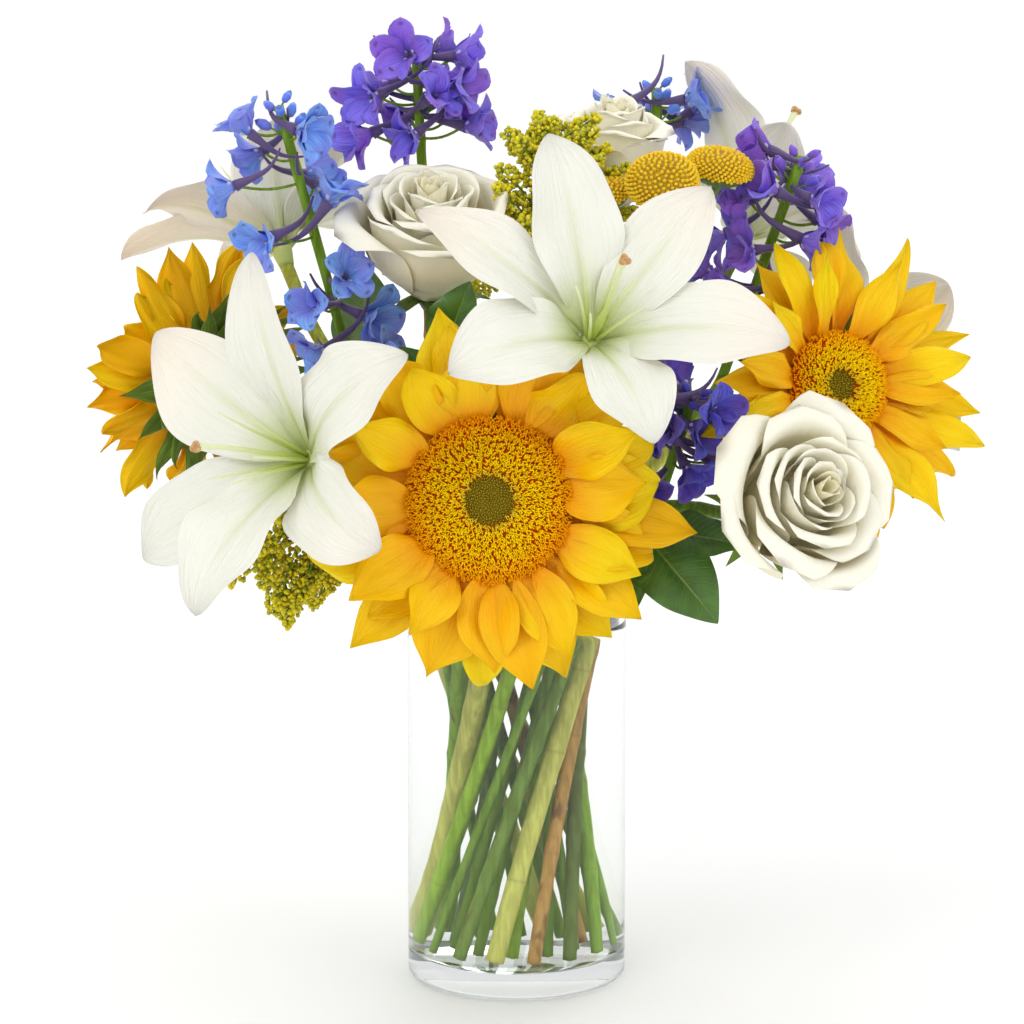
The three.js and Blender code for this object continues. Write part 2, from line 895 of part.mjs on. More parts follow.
Object.entries(SUNFLOWERS).forEach(([side, spec]) => sunflower(side, spec));
Object.entries(LILIES).forEach(([side, spec]) => lily(side, spec));
Object.entries(ROSES).forEach(([side, spec]) => rose(side, spec));
Object.entries(DELPHINIUMS).forEach(([side, spec]) => delphinium(side, spec));
Object.entries(GOLDENRODS).forEach(([side, spec]) => goldenrod(side, spec));
buttons();
Object.entries(TWIGS).forEach(([side, spec]) => twig(side, spec));
add("vase", vase(), "glass");
add("water", water(wetStems), "water");

export default bouquet;
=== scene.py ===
"""A mixed bouquet of sunflowers, lilies, roses, delphiniums and goldenrod in a clear glass vase.

The pieces are built around the packed frame: each flower's place and facing come from the end of its
stem there. Lengths in the tables are millimetres; angles are degrees. A head's own axes are its right,
its upper side and the way it faces. +Z is up and -Y is the front.
"""

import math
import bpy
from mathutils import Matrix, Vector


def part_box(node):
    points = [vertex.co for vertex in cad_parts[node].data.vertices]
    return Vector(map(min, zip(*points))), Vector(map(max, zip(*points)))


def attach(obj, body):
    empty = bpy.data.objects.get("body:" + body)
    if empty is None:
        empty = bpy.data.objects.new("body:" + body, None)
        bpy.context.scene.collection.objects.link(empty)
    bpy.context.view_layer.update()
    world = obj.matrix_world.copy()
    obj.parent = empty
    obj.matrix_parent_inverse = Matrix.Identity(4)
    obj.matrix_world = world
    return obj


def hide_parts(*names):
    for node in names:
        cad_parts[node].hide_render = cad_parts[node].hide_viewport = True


bl_info = {
    "name": "Bouquet in a glass vase",
    "version": (1, 0, 0),
    "blender": (4, 5, 0),
    "location": "3D View > Sidebar > Bouquet",
    "description": "Builds the flowers, leaves, stems, water and glass of a bouquet",
    "category": "Add Mesh",
}

from types import SimpleNamespace

import bpy
import numpy as np
from bpy.props import FloatProperty, FloatVectorProperty, IntProperty, PointerProperty
from mathutils import Vector

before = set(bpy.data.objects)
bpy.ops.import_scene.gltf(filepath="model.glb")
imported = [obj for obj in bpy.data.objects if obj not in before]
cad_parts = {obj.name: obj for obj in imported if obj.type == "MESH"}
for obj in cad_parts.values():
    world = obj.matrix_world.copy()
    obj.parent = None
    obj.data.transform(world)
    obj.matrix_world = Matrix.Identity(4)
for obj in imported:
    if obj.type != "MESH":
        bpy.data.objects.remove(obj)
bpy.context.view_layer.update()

MM = 0.001
GOLDEN_ANGLE = 137.508
BODY = "root"
UP = np.array([0.0, 0.0, 1.0])


# ------------------------------------------------------------------ settings


def length(name, description, default, **more):
    """A length in metres as a user sees it."""
    return FloatProperty(
        name=name, description=description, default=default, unit="LENGTH", precision=4, **more
    )


def share(name, description, default):
    """A plain number, mostly from 0 to 1."""
    return FloatProperty(name=name, description=description, default=default, min=0.0, max=4.0)


def colour(name, description, default):
    """A linear colour."""
    return FloatVectorProperty(
        name=name, description=description, default=default, subtype="COLOR", min=0.0, max=1.0
    )


class GlassSettings(bpy.types.PropertyGroup):
    wall: length("Wall", "Thickness of the vase's wall", 0.003)
    floor: length("Floor", "Height of the solid glass foot", 0.0125)
    meniscus: length("Meniscus", "How far the water climbs the glass", 0.0016)
    sides: IntProperty(name="Sides", description="Facets round the vase", default=128, min=24)
    tint: colour("Glass tint", "Colour of the clear glass", (0.975, 0.988, 0.984))
    water_tint: colour("Water tint", "Colour of the water", (0.988, 0.992, 0.975))


class StemSettings(bpy.types.PropertyGroup):
    knuckle: share("Knuckles", "How far the joints of a stem stand out, as a share of its radius", 0.14)
    green: colour("Green stem", "Skin of the thin stems", (0.18, 0.33, 0.012))
    pale: colour("Pale stem", "Skin of the thick sunflower stems", (0.50, 0.50, 0.10))
    scar: colour("Scar", "Bruises and dry scars", (0.20, 0.085, 0.028))


class SunflowerSettings(bpy.types.PropertyGroup):
    petal_thick: length("Petal thickness", "Thickness of a ray petal", 0.0006)
    ruffle: length("Ruffle", "How far a petal's edges wave", 0.0031)
    crowd: share("Crowd", "Petals built for each one in the frame", 1.5)
    tip: colour("Petal tip", "Outer part of a ray petal", (1.0, 0.60, 0.0))
    root: colour("Petal root", "Petal beside the disc", (0.96, 0.31, 0.0))
    floret_tip: colour("Floret tip", "Open florets of the disc", (1.0, 0.62, 0.0))
    floret_deep: colour("Floret depth", "Between the florets", (0.88, 0.13, 0.0))
    heart: colour("Heart", "Closed florets in the middle", (0.50, 0.40, 0.02))
    bract: colour("Bract", "Green bracts and sepals", (0.105, 0.17, 0.018))


class LilySettings(bpy.types.PropertyGroup):
    tepal_thick: length("Tepal thickness", "Thickness of a tepal", 0.001)
    ruffle: length("Ruffle", "How far a tepal's edges wave", 0.0022)
    white: colour("White", "Face of a tepal", (0.87, 0.87, 0.78))
    throat: colour("Throat", "Green of the throat and midrib", (0.50, 0.60, 0.12))
    blush: colour("Blush", "Warm flush near the tips", (0.98, 0.86, 0.73))
    stigma: colour("Stigma", "End of the pistil", (0.50, 0.26, 0.10))


class RoseSettings(bpy.types.PropertyGroup):
    petals: IntProperty(name="Petals", description="Petals in a bloom", default=26, min=8)
    petal_thick: length("Petal thickness", "Thickness of a rose petal", 0.0005)
    cream: colour("Cream", "Face of a petal", (0.98, 0.95, 0.80))
    # Depth colour: the rose's own warm tone, darkened as painted shade deep in the bloom.
    depth: colour("Depth", "Warm colour deep in the bloom", (0.93, 0.83, 0.46))


class DelphiniumSettings(bpy.types.PropertyGroup):
    sepal: length("Sepal", "Length of a floret's sepal", 0.0178)
    ruffle: length("Ruffle", "How far a sepal's edges wave", 0.0017)
    spur: length("Spur", "Length of the spur behind a floret", 0.027)
    blue: colour("Blue", "Light blue florets", (0.12, 0.26, 0.90))
    purple: colour("Purple", "Purple florets", (0.15, 0.11, 0.64))
    indigo: colour("Indigo", "Deep florets low in the bouquet", (0.05, 0.055, 0.46))
    bee: colour("Bee", "Small petals in a floret's middle", (0.55, 0.52, 0.76))


class FillerSettings(bpy.types.PropertyGroup):
    bud: length("Bud", "Length of a goldenrod bud", 0.0026)
    goldenrod: colour("Goldenrod", "Goldenrod buds", (0.86, 0.72, 0.006))
    goldenrod_green: colour("Goldenrod green", "Unopened buds", (0.46, 0.45, 0.015))
    button: colour("Button", "Florets of a button bloom", (0.96, 0.66, 0.008))
    leaf: colour("Leaf", "Upper face of a leaf", (0.052, 0.135, 0.016))
    leaf_under: colour("Leaf underside", "Lower face of a leaf", (0.10, 0.19, 0.05))
    vein: colour("Vein", "Veins of a leaf", (0.25, 0.37, 0.09))


class StageSettings(bpy.types.PropertyGroup):
    floor: colour("Floor", "Colour of the floor", (0.955, 0.955, 0.955))
    sky: share("Sky", "Strength of the light from all round", 0.98)
    key: FloatProperty(name="Key light", description="Key light power", default=14.5, unit="POWER")
    fill: FloatProperty(name="Fill light", description="Fill light power", default=9.5, unit="POWER")
    lens: FloatProperty(name="Lens", description="Camera lens", default=171.0, unit="CAMERA")
    camera: FloatVectorProperty(
        name="Camera", description="Camera place", default=(-0.0021, -2.2, 0.657), subtype="XYZ"
    )
    aim: FloatVectorProperty(
        name="Aim", description="Point the camera looks at", default=(-0.0021, 0.0, 0.220),
        subtype="XYZ",
    )


class BouquetSettings(bpy.types.PropertyGroup):
    glass: PointerProperty(type=GlassSettings)
    stem: PointerProperty(type=StemSettings)
    sunflower: PointerProperty(type=SunflowerSettings)
    lily: PointerProperty(type=LilySettings)
    rose: PointerProperty(type=RoseSettings)
    delphinium: PointerProperty(type=DelphiniumSettings)
    filler: PointerProperty(type=FillerSettings)
    stage: PointerProperty(type=StageSettings)


# ------------------------------------------------------------------ small vector helpers


def unit(v):
    """v at length 1, and left alone where it has none."""
    v = np.asarray(v, float)
    size = np.linalg.norm(v, axis=-1, keepdims=True)
    return v / np.where(size < 1e-12, 1.0, size)


def head_frame(at, faces):
    """The place of a head and the rows of its own axes: right, upper side, the way it faces."""
    forward = unit(faces)
    right = unit(np.cross(UP, forward))
    return np.asarray(at, float), np.stack([right, np.cross(forward, right), forward])


def carry(points, head):
    """Points in a head's own frame, carried into the arrangement."""
    return head[0] + points @ head[1]


def across_axes(direction):
    """Two unit directions square to each of the given ones, shape (n, 3)."""
    helper = np.where(np.abs(direction[..., 2:3]) < 0.9, [0.0, 0.0, 1.0], [1.0, 0.0, 0.0])
    side = unit(np.cross(helper, direction))
    return side, np.cross(direction, side)


def lengths(path):
    """How far along a path each of its points lies."""
    return np.concatenate([[0], np.cumsum(np.linalg.norm(np.diff(path, axis=0), axis=1))])


def at_length(path, here):
    """The points of a path that lie so far along it."""
    run = lengths(path)
    return np.stack([np.interp(here, run, path[:, k]) for k in range(3)], axis=-1)


def off_stem(along, turn, lean):
    """The direction that leaves a stem at a turn in degrees round it, and leans up it."""
    right = unit(np.cross([0.0, 1.0, 0.0], along))
    a = np.radians(turn)
    return unit(right * math.cos(a) + np.cross(along, right) * math.sin(a) + lean * along)


def spiral(count):
    """Shares of the radius, and turns, of a golden-angle spiral that fills a disc evenly."""
    i = np.arange(count)
    return np.sqrt((i + 0.5) / count), np.radians(GOLDEN_ANGLE * i)


def smooth_path(points, count):
    """A Catmull-Rom curve through the points, at `count` places evenly spaced by its length."""
    p = np.vstack([2 * points[0] - points[1], points, 2 * points[-1] - points[-2]])
    t = np.linspace(0, len(points) - 1, 24 * (len(points) - 1) + 1)
    i = np.minimum(t.astype(int), len(points) - 2)
    f = (t - i)[:, None]
    a, b, c, d = p[i], p[i + 1], p[i + 2], p[i + 3]
    fine = 0.5 * (
        2 * b + (c - a) * f + (2 * a - 5 * b + 4 * c - d) * f**2 + (3 * b - a - 3 * c + d) * f**3
    )
    return at_length(fine, np.linspace(0, lengths(fine)[-1], count))


def read_mesh(node):
    """Merged vertices (mm) and triangles of a CAD node."""
    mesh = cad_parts[node].data
    points = np.empty(len(mesh.vertices) * 3, np.float32)
    mesh.vertices.foreach_get("co", points)
    points = points.reshape(-1, 3).astype(float) / MM
    corners = np.empty(len(mesh.loops), np.int32)
    mesh.loops.foreach_get("vertex_index", corners)
    _, first, back = np.unique(
        np.round(points, 2), axis=0, return_index=True, return_inverse=True
    )
    return points[first], back.ravel()[corners].reshape(-1, 3)


def stem_line(node):
    """Middle line, radius, end and end direction of a CAD stem.

    A stem there is a tube of six-sided rings. Vertices joined by edges no longer than 1.1 times the
    ring's radius form one ring; rings of six that are round are kept and put in order from the lowest.
    """
    points, triangles = read_mesh(node)
    edges = np.vstack([triangles[:, [0, 1]], triangles[:, [1, 2]], triangles[:, [2, 0]]])
    size = np.linalg.norm(points[edges[:, 0]] - points[edges[:, 1]], axis=1)
    lowest = points[np.argsort(points[:, 2])[:6]]
    radius = np.linalg.norm(lowest - lowest.mean(0), axis=1).max()
    short = edges[size < 1.1 * radius]
    label = np.arange(len(points))
    for _ in range(60):
        low = np.minimum(label[short[:, 0]], label[short[:, 1]])
        np.minimum.at(label, short[:, 0], low)
        np.minimum.at(label, short[:, 1], low)
    kinds, count = np.unique(label, return_counts=True)
    centres, rings = [], []
    for kind in kinds[count == 6]:
        ring = points[label == kind]
        middle = ring.mean(0)
        reach = np.linalg.norm(ring - middle, axis=1)
        if np.abs(reach - radius).max() < 0.03 * radius:
            centres.append(middle)
            rings.append(ring)
    centres = np.array(centres)
    order = [int(np.argmin(centres[:, 2]))]
    left = set(range(len(centres))) - set(order)
    while left:
        near = min(left, key=lambda i: np.linalg.norm(centres[i] - centres[order[-1]]))
        order.append(near)
        left.remove(near)
    line = centres[order]
    normal = np.linalg.svd(rings[order[-1]] - line[-1])[2][2]
    normal = normal if normal @ (line[-1] - line[-2]) > 0 else -normal
    return SimpleNamespace(line=line, radius=radius, end=line[-1], faces=normal)


def over(x, y, rise):
    """A point at a height over the vase's rim, as the frame places its flowers."""
    return np.array([x, y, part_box("vase")[1][2] / MM + rise])


def reach_tip(stem, tip, faces):
    """Carries a stem's line on to its tip, by a cubic that keeps the direction at both ends."""
    faces = unit(faces)
    start, heading = stem.line[-1], unit(stem.line[-1] - stem.line[-2])
    span = np.linalg.norm(tip - start)
    if span > 3:
        t = np.linspace(0, 1, 7)[1:, None]
        curve = (
            start * (2 * t**3 - 3 * t**2 + 1) + heading * span * (t**3 - 2 * t**2 + t)
            + tip * (3 * t**2 - 2 * t**3) + faces * span * (t**3 - t**2)
        )
        stem.line = np.vstack([stem.line, curve])
    stem.end, stem.faces = tip, faces
    return stem


# ------------------------------------------------------------------ closed surfaces


def circle(sides):
    """Turns of the points round a ring."""
    return np.linspace(0, 2 * np.pi, sides, endpoint=False)


def sideways(count):
    """Places across a sheet from -1 to 1, closer together at its edges."""
    return -np.cos(np.linspace(0, np.pi, count))[None, None, :]


class Skin:
    """Collects closed surfaces for one piece. Each is a stack of rings with a pole at both ends."""

    names = ("along", "across", "under", "tint")

    def __init__(self):
        self.points, self.quads, self.tris, self.values, self.count = [], [], [], [], 0

    def add(self, rings, ends, along=0.5, across=0.0, under=0.0, tint=0.5):
        """rings has the shape (copies, rings, around, 3) and ends (copies, 2, 3)."""
        copies, n, k, _ = rings.shape
        stride = n * k + 2
        points = np.concatenate([rings.reshape(copies, n * k, 3), ends], axis=1)
        columns = []
        for value in (along, across, under, tint):
            full = np.broadcast_to(value, (copies, n, k))
            pole = full[:, [0, -1]].mean(axis=2)
            columns.append(np.concatenate([full.reshape(copies, n * k), pole], axis=1))
        i, j = np.meshgrid(np.arange(n - 1), np.arange(k), indexing="ij")
        turn = (j + 1) % k
        quads = np.stack(
            [i * k + j, i * k + turn, (i + 1) * k + turn, (i + 1) * k + j], axis=-1
        ).reshape(-1, 4)
        j = np.arange(k)
        turn = (j + 1) % k
        first = np.stack([np.full(k, n * k), turn, j], axis=-1)
        last = np.stack([np.full(k, n * k + 1), (n - 1) * k + j, (n - 1) * k + turn], axis=-1)
        tris = np.concatenate([first, last])
        # Signed volume of the first copy, from its triangles: negative means that it is inside out.
        around = points[0] - points[0].mean(0)
        three = np.concatenate([tris, quads[:, :3], quads[:, [0, 2, 3]]])
        corner = around[three]
        if np.einsum("ij,ij->i", corner[:, 0], np.cross(corner[:, 1], corner[:, 2])).sum() < 0:
            quads, tris = quads[:, ::-1], tris[:, ::-1]
        shift = self.count + stride * np.arange(copies)[:, None, None]
        self.quads.append((quads + shift).reshape(-1, 4))
        self.tris.append((tris + shift).reshape(-1, 3))
        self.points.append(points.reshape(-1, 3))
        self.values.append(np.stack(columns, axis=-1).reshape(-1, 4))
        self.count += copies * stride

    def piece(self, name, material, slot, *nodes):
        """Makes the object, in place, and says what it rides on and stands for."""
        points = np.concatenate(self.points) * MM
        quads, tris = np.concatenate(self.quads), np.concatenate(self.tris)
        corners = np.concatenate([quads.ravel(), tris.ravel()])
        starts = np.concatenate(
            [4 * np.arange(len(quads)), 4 * len(quads) + 3 * np.arange(len(tris))]
        )
        mesh = bpy.data.meshes.new(name)
        mesh.vertices.add(len(points))
        mesh.vertices.foreach_set("co", points.astype(np.float32).ravel())
        mesh.loops.add(len(corners))
        mesh.loops.foreach_set("vertex_index", corners.astype(np.int32))
        mesh.polygons.add(len(starts))
        mesh.polygons.foreach_set("loop_start", starts.astype(np.int32))
        mesh.update(calc_edges=True)
        mesh.polygons.foreach_set("use_smooth", np.ones(len(starts), bool))
        values = np.concatenate(self.values).astype(np.float32)
        for column, label in enumerate(self.names):
            layer = mesh.attributes.new(label, "FLOAT", "POINT")
            layer.data.foreach_set("value", np.ascontiguousarray(values[:, column]))
        mesh.materials.append(material)
        mesh.update()
        piece = bpy.data.objects.new(name, mesh)
        bpy.context.scene.collection.objects.link(piece)
        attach(piece, BODY)
        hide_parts(*nodes)
        return piece


def shell(mid, thick):
    """Closes thin sheets given by their middle surfaces, shape (copies, along, across, 3).

    Each face lies off the middle along its normal by thick / 2 * sqrt(1 - s^2) * sin(pi u)^0.3, with s
    from -1 to 1 across the sheet, so that it thins to its edges.
    """
    _, n, k, _ = mid.shape
    normal = unit(np.cross(np.gradient(mid, axis=1), np.gradient(mid, axis=2)))
    u = np.linspace(0, 1, n)[None, :, None]
    s = sideways(k)
    half = thick / 2 * np.sqrt(np.clip(1 - s**2, 0, 1)) * np.sin(np.pi * u) ** 0.3
    upper = mid + normal * half[..., None]
    lower = mid - normal * half[..., None]
    rings = np.concatenate([upper, lower[:, :, -2:0:-1]], axis=2)[:, 1:-1]
    across = np.concatenate([s, s[:, :, -2:0:-1]], axis=2)
    under = np.concatenate([np.zeros(k), np.ones(k - 2)])[None, None, :]
    return SimpleNamespace(
        rings=rings, ends=mid[:, [0, -1]].mean(axis=2), along=u[:, 1:-1], across=across, under=under
    )


BLADE = dict(
    angle=0, start=0, rise=0, opens=80, turns=90, curl=0, length=50, width=20, belly=0.45,
    blunt=0.9, cup=0.2, ruffle=0, waves=2, phase=0, pleat=0, crease=0, twist=0, sway=0, fold=0, nib=0,
)


def blades(thick=0.6, rings=18, across=11, **values):
    """Petals, tepals, bracts and leaves in a head's own frame, one for each row of the values.

    With u from 0 at the root to 1 at the tip, the midrib leaves at `opens` degrees from the axis,
    turns evenly to `turns` and by `curl` more over its last part; its points are the running sum of
    its direction times the length, moved aside by sway * length * u^2. The half width is
    width / 2 * sin(pi u^p)^blunt, with p set so that the widest place is at `belly`, drawn in by
    `nib` over the last third for a small point. A point at the share s of the half width lies above
    the midrib by cup * half * s^2 + fold * half * |s| + ruffle * s^2 * sin(2 pi waves u + phase +
    1.3 s) * sin(pi u)^0.5 + pleat * cos(3 pi s) * sin(pi u) - crease * exp(-(s / 0.16)^2) * (1 - u) *
    sin(pi u)^0.3, and the section turns by `twist` degrees to the tip.
    """
    copies = max(np.size(v) for v in values.values())
    g = SimpleNamespace(**{
        k: np.broadcast_to(np.asarray(v, float), (copies,)).reshape(copies, 1, 1)
        for k, v in {**BLADE, **values}.items()
    })
    t = np.linspace(0, 1, rings + 2)
    u = (0.55 * t + 0.45 * (1 - np.cos(np.pi * t)) / 2)[None, :, None]
    s = sideways(across)
    last = np.clip((u - 0.55) / 0.45, 0, 1)
    a = np.radians(g.opens + (g.turns - g.opens) * u + g.curl * last**2)
    step = np.diff(u, axis=1)
    middle = (a[:, 1:] + a[:, :-1]) / 2
    zero = np.zeros((copies, 1, 1))
    radial = np.concatenate([zero, np.cumsum(np.sin(middle) * step, axis=1)], axis=1)
    axial = np.concatenate([zero, np.cumsum(np.cos(middle) * step, axis=1)], axis=1)
    turn = np.radians(g.angle)
    out = np.concatenate([np.cos(turn), np.sin(turn), zero], axis=-1)[:, :, None, :]
    side = np.concatenate([-np.sin(turn), np.cos(turn), zero], axis=-1)[:, :, None, :]
    rib = (
        out * (g.start + g.length * radial)[..., None]
        + UP * (g.rise + g.length * axial)[..., None]
        + side * (g.sway * g.length * u**2)[..., None]
    )
    normal = -out * np.cos(a)[..., None] + UP * np.sin(a)[..., None]
    roll = np.radians(g.twist * u)[..., None]
    aside = side * np.cos(roll) + normal * np.sin(roll)
    above = normal * np.cos(roll) - side * np.sin(roll)
    power = np.log(0.5) / np.log(g.belly)
    half = g.width / 2 * np.sin(np.pi * np.clip(u, 0, 1) ** power) ** g.blunt
    half = half * (1 - g.nib * np.clip((u - 0.7) / 0.3, 0, 1) ** 1.3)
    half[:, [0, -1]] = 0
    swell = np.sin(np.pi * u)
    wave = np.sin(2 * np.pi * g.waves * u + g.phase + 1.3 * s)
    lift = (
        g.cup * half * s**2
        + g.fold * half * np.abs(s)
        + g.ruffle * s**2 * wave * swell**0.5
        + g.pleat * np.cos(3 * np.pi * s) * swell
        - g.crease * np.exp(-((s / 0.16) ** 2)) * (1 - u) * swell**0.3
    )
    lift = np.where(half > 0, lift, 0)
    mid = rib + aside * (half * s)[..., None] + above * lift[..., None]
    made = shell(mid, thick)
    made.along = u[:, 1:-1]
    return made


def add_sheets(skin, head, made, tint):
    """Closed sheets carried to a head."""
    skin.add(
        carry(made.rings, head), carry(made.ends, head), made.along, made.across, made.under, tint
    )


def add_blades(skin, head, tint=0.5, **values):
    """Blades carried to a head."""
    made = blades(**values)
    tint = np.asarray(tint, float).reshape(-1, 1, 1)
    add_sheets(skin, head, made, np.broadcast_to(tint, (len(made.rings), 1, 1)))


def add_lathe(skin, head, profile, sides, **values):
    """A profile of (radius, height) turned round a head's axis.

    x = r cos a, y = r sin a, z = height.
    """
    profile = np.asarray(profile, float)
    a = circle(sides)
    rings = np.stack(
        [
            profile[1:-1, :1] * np.cos(a),
            profile[1:-1, :1] * np.sin(a),
            np.broadcast_to(profile[1:-1, 1:], (len(profile) - 2, sides)),
        ],
        axis=-1,
    )[None]
    ends = np.array([[[0, 0, profile[0, 1]], [0, 0, profile[-1, 1]]]], float)
    skin.add(carry(rings, head), carry(ends, head), **values)


def add_tube(skin, path, radii, sides=10, bend=None, **values):
    """A round section carried along a path: its rings stand square to the path's direction."""
    path = np.asarray(path, float)
    radii = np.broadcast_to(radii, len(path)).astype(float)
    heading = unit(np.gradient(path, axis=0))
    flat = np.linalg.svd(heading, full_matrices=True)[2][2]
    side = unit(np.cross(flat, heading))
    other = np.cross(heading, side)
    a = circle(sides)
    spread = side[:, None] * np.cos(a)[:, None] + other[:, None] * np.sin(a)[:, None]
    width = radii[:, None, None] if bend is None else radii[:, None, None] * bend[..., None]
    rings = (path[:, None] + spread * width)[None]
    caps = 0.25 * radii[[0, -1], None] * np.array([[-1.0], [1.0]]) * heading[[0, -1]]
    ends = (path[[0, -1]] + caps)[None]
    values.setdefault("along", np.linspace(0, 1, len(path))[None, :, None])
    skin.add(rings, ends, **values)


def add_beads(skin, at, towards, tall, wide, profile, sides=5, **values):
    """Small closed bodies, one at each point: their profile of (height, radius) shares is turned
    round the direction given for each, and scaled by its own height and width."""
    at, towards = np.asarray(at, float), unit(towards)
    tall = np.broadcast_to(tall, len(at)).reshape(-1, 1, 1, 1)
    wide = np.broadcast_to(wide, len(at)).reshape(-1, 1, 1, 1)
    profile = np.asarray(profile, float)
    side, other = (v[:, None, None] for v in across_axes(towards))
    a = circle(sides)[None, None, :, None]
    radius = profile[None, 1:-1, None, 1:]
    height = profile[None, 1:-1, None, :1]
    start, ahead = at[:, None, None], towards[:, None, None]
    rings = start + ahead * height * tall + wide * radius * (side * np.cos(a) + other * np.sin(a))
    ends = at[:, None] + towards[:, None] * profile[None, [0, -1], :1] * tall[:, 0]
    values.setdefault("along", height[..., 0])
    skin.add(rings, ends, **values)


# ------------------------------------------------------------------ finishes


LEMON, GOLD, ORANGE = (1.0, 0.74, 0.0), (1.0, 0.82, 0.0), (1.0, 0.31, 0.0)
HEART_DARK, HEART_LIGHT = (0.26, 0.18, 0.008), (0.72, 0.60, 0.03)
LILY_VEIN, STYLE_PALE, STIGMA_LIGHT = (0.80, 0.83, 0.62), (0.78, 0.82, 0.50), (0.66, 0.42, 0.20)
ROSE_VEIN = (0.72, 0.70, 0.42)
EYE, SPUR, PUPIL = (0.06, 0.04, 0.16), (0.115, 0.075, 0.20), (0.10, 0.08, 0.13)
SOAK = 0.0025  # how far light goes into a petal, in metres
VEIN_SCALE = 2.2


def shaded(tone, factor, lift=0.0):
    """A colour made lighter or darker, and never over 1."""
    return tuple(min(1.0, factor * c + lift) for c in tone)


class Finish:
    """A node material, built by small steps around one Principled shader."""

    def __init__(self, name, rough, specular, **sockets):
        self.material = bpy.data.materials.new(name)
        self.material.use_nodes = True
        self.tree = self.material.node_tree
        self.shader = self.tree.nodes["Principled BSDF"]
        self.set(self.shader, Roughness=rough, Specular_IOR_Level=specular, **sockets)

    def add(self, kind, **sockets):
        """A new node with its sockets set."""
        return self.set(self.tree.nodes.new("ShaderNode" + kind), **sockets)

    def set(self, node, **sockets):
        """Sets or links a node's sockets, named with _ for each space."""
        for key, value in sockets.items():
            self.feed(node.inputs[key.replace("_", " ")], value)
        return node

    def feed(self, socket, value):
        """Sets a socket, or links it when the value is another node's output."""
        if isinstance(value, bpy.types.NodeSocket):
            self.tree.links.new(value, socket)
        elif socket.type == "RGBA" and len(value) == 3:
            socket.default_value = (*value, 1.0)
        else:
            socket.default_value = value

    def value(self, name):
        """A value that the points carry."""
        node = self.add("Attribute")
        node.attribute_name = name
        return node.outputs["Fac"]

    def noise(self, scale, detail=3.0, rough=0.55, stretch=None):
        """Noise in the object's own coordinates, stretched where asked."""
        place = self.add("TexCoord").outputs["Object"]
        if stretch is not None:
            place = self.add("Mapping", Vector=place, Scale=stretch).outputs["Vector"]
        node = self.add("TexNoise", Vector=place, Scale=scale, Detail=detail, Roughness=rough)
        return node.outputs["Fac"]

    def veins(self, count):
        """Fine lengthwise lines: noise over the values along and across a petal, squeezed across."""
        x, y = self.times(self.value("across"), count), self.times(self.value("along"), 1.2)
        place = self.add("CombineXYZ", X=x, Y=y, Z=self.value("tint")).outputs[0]
        return self.add("TexNoise", Vector=place, Scale=VEIN_SCALE, Detail=3.0).outputs["Fac"]

    def math(self, kind, a, b=0.0, clamp=False):
        """A sum of one or two values."""
        node = self.add("Math")
        node.operation, node.use_clamp = kind, clamp
        self.feed(node.inputs[0], a)
        self.feed(node.inputs[1], b)
        return node.outputs[0]

    def times(self, a, b):
        """a times b."""
        return self.math("MULTIPLY", a, b)

    def size(self, a):
        """a without its sign."""
        return self.math("ABSOLUTE", a)

    def ramp(self, fac, low, high):
        """0 at low, 1 at high and smooth between; it falls where low is the larger."""
        node = self.add("MapRange", Value=fac, From_Min=low, From_Max=high)
        node.interpolation_type = "SMOOTHSTEP"
        return node.outputs["Result"]

    def mix(self, fac, a, b):
        """Colour a where fac is 0, and b where it is 1."""
        return self.add("MixRGB", Fac=fac, Color1=a, Color2=b).outputs["Color"]

    def layer(self, base, top, fac, amount):
        """A colour laid over another by a factor, and only as much as the amount."""
        return self.mix(self.times(fac, amount), base, top)

    def soft(self, weight, radius):
        """Light that soaks a little way into a petal."""
        self.set(
            self.shader, Subsurface_Weight=weight, Subsurface_Radius=radius, Subsurface_Scale=SOAK
        )

    def bump(self, height, depth, strength):
        """Fine relief: how deep it is, in metres, and how much of it shows."""
        node = self.add("Bump", Height=height, Distance=depth, Strength=strength)
        self.set(self.shader, Normal=node.outputs["Normal"])

    def paint(self, base):
        """Gives the shader its colour, and returns the finished material."""
        self.set(self.shader, Base_Color=base)
        return self.material


def petal_finish(settings):
    """Golden ray petals: orange at the root, yellow outwards, with fine lines along them."""
    f = Finish("sunflower_petal", rough=0.45, specular=0.22)
    along, tint = f.value("along"), f.value("tint")
    lines = f.veins(7.0)
    base = f.mix(f.ramp(along, 0.02, 0.62), settings.root, settings.tip)
    warm = f.mix(0.45, settings.root, settings.tip)
    base = f.layer(base, warm, f.ramp(lines, 0.45, 0.75), 0.5)
    base = f.layer(base, warm, f.ramp(tint, 0.45, 1.0), 0.55)
    bright = f.times(f.ramp(tint, 0.5, 0.0), f.ramp(along, 0.15, 0.7))
    base = f.layer(base, LEMON, bright, 0.7)
    base = f.layer(base, warm, f.ramp(f.value("under"), 0, 1), 0.35)
    f.soft(0.25, (1.0, 0.55, 0.05))
    f.bump(lines, 0.0008, 0.8)
    return f.paint(base)


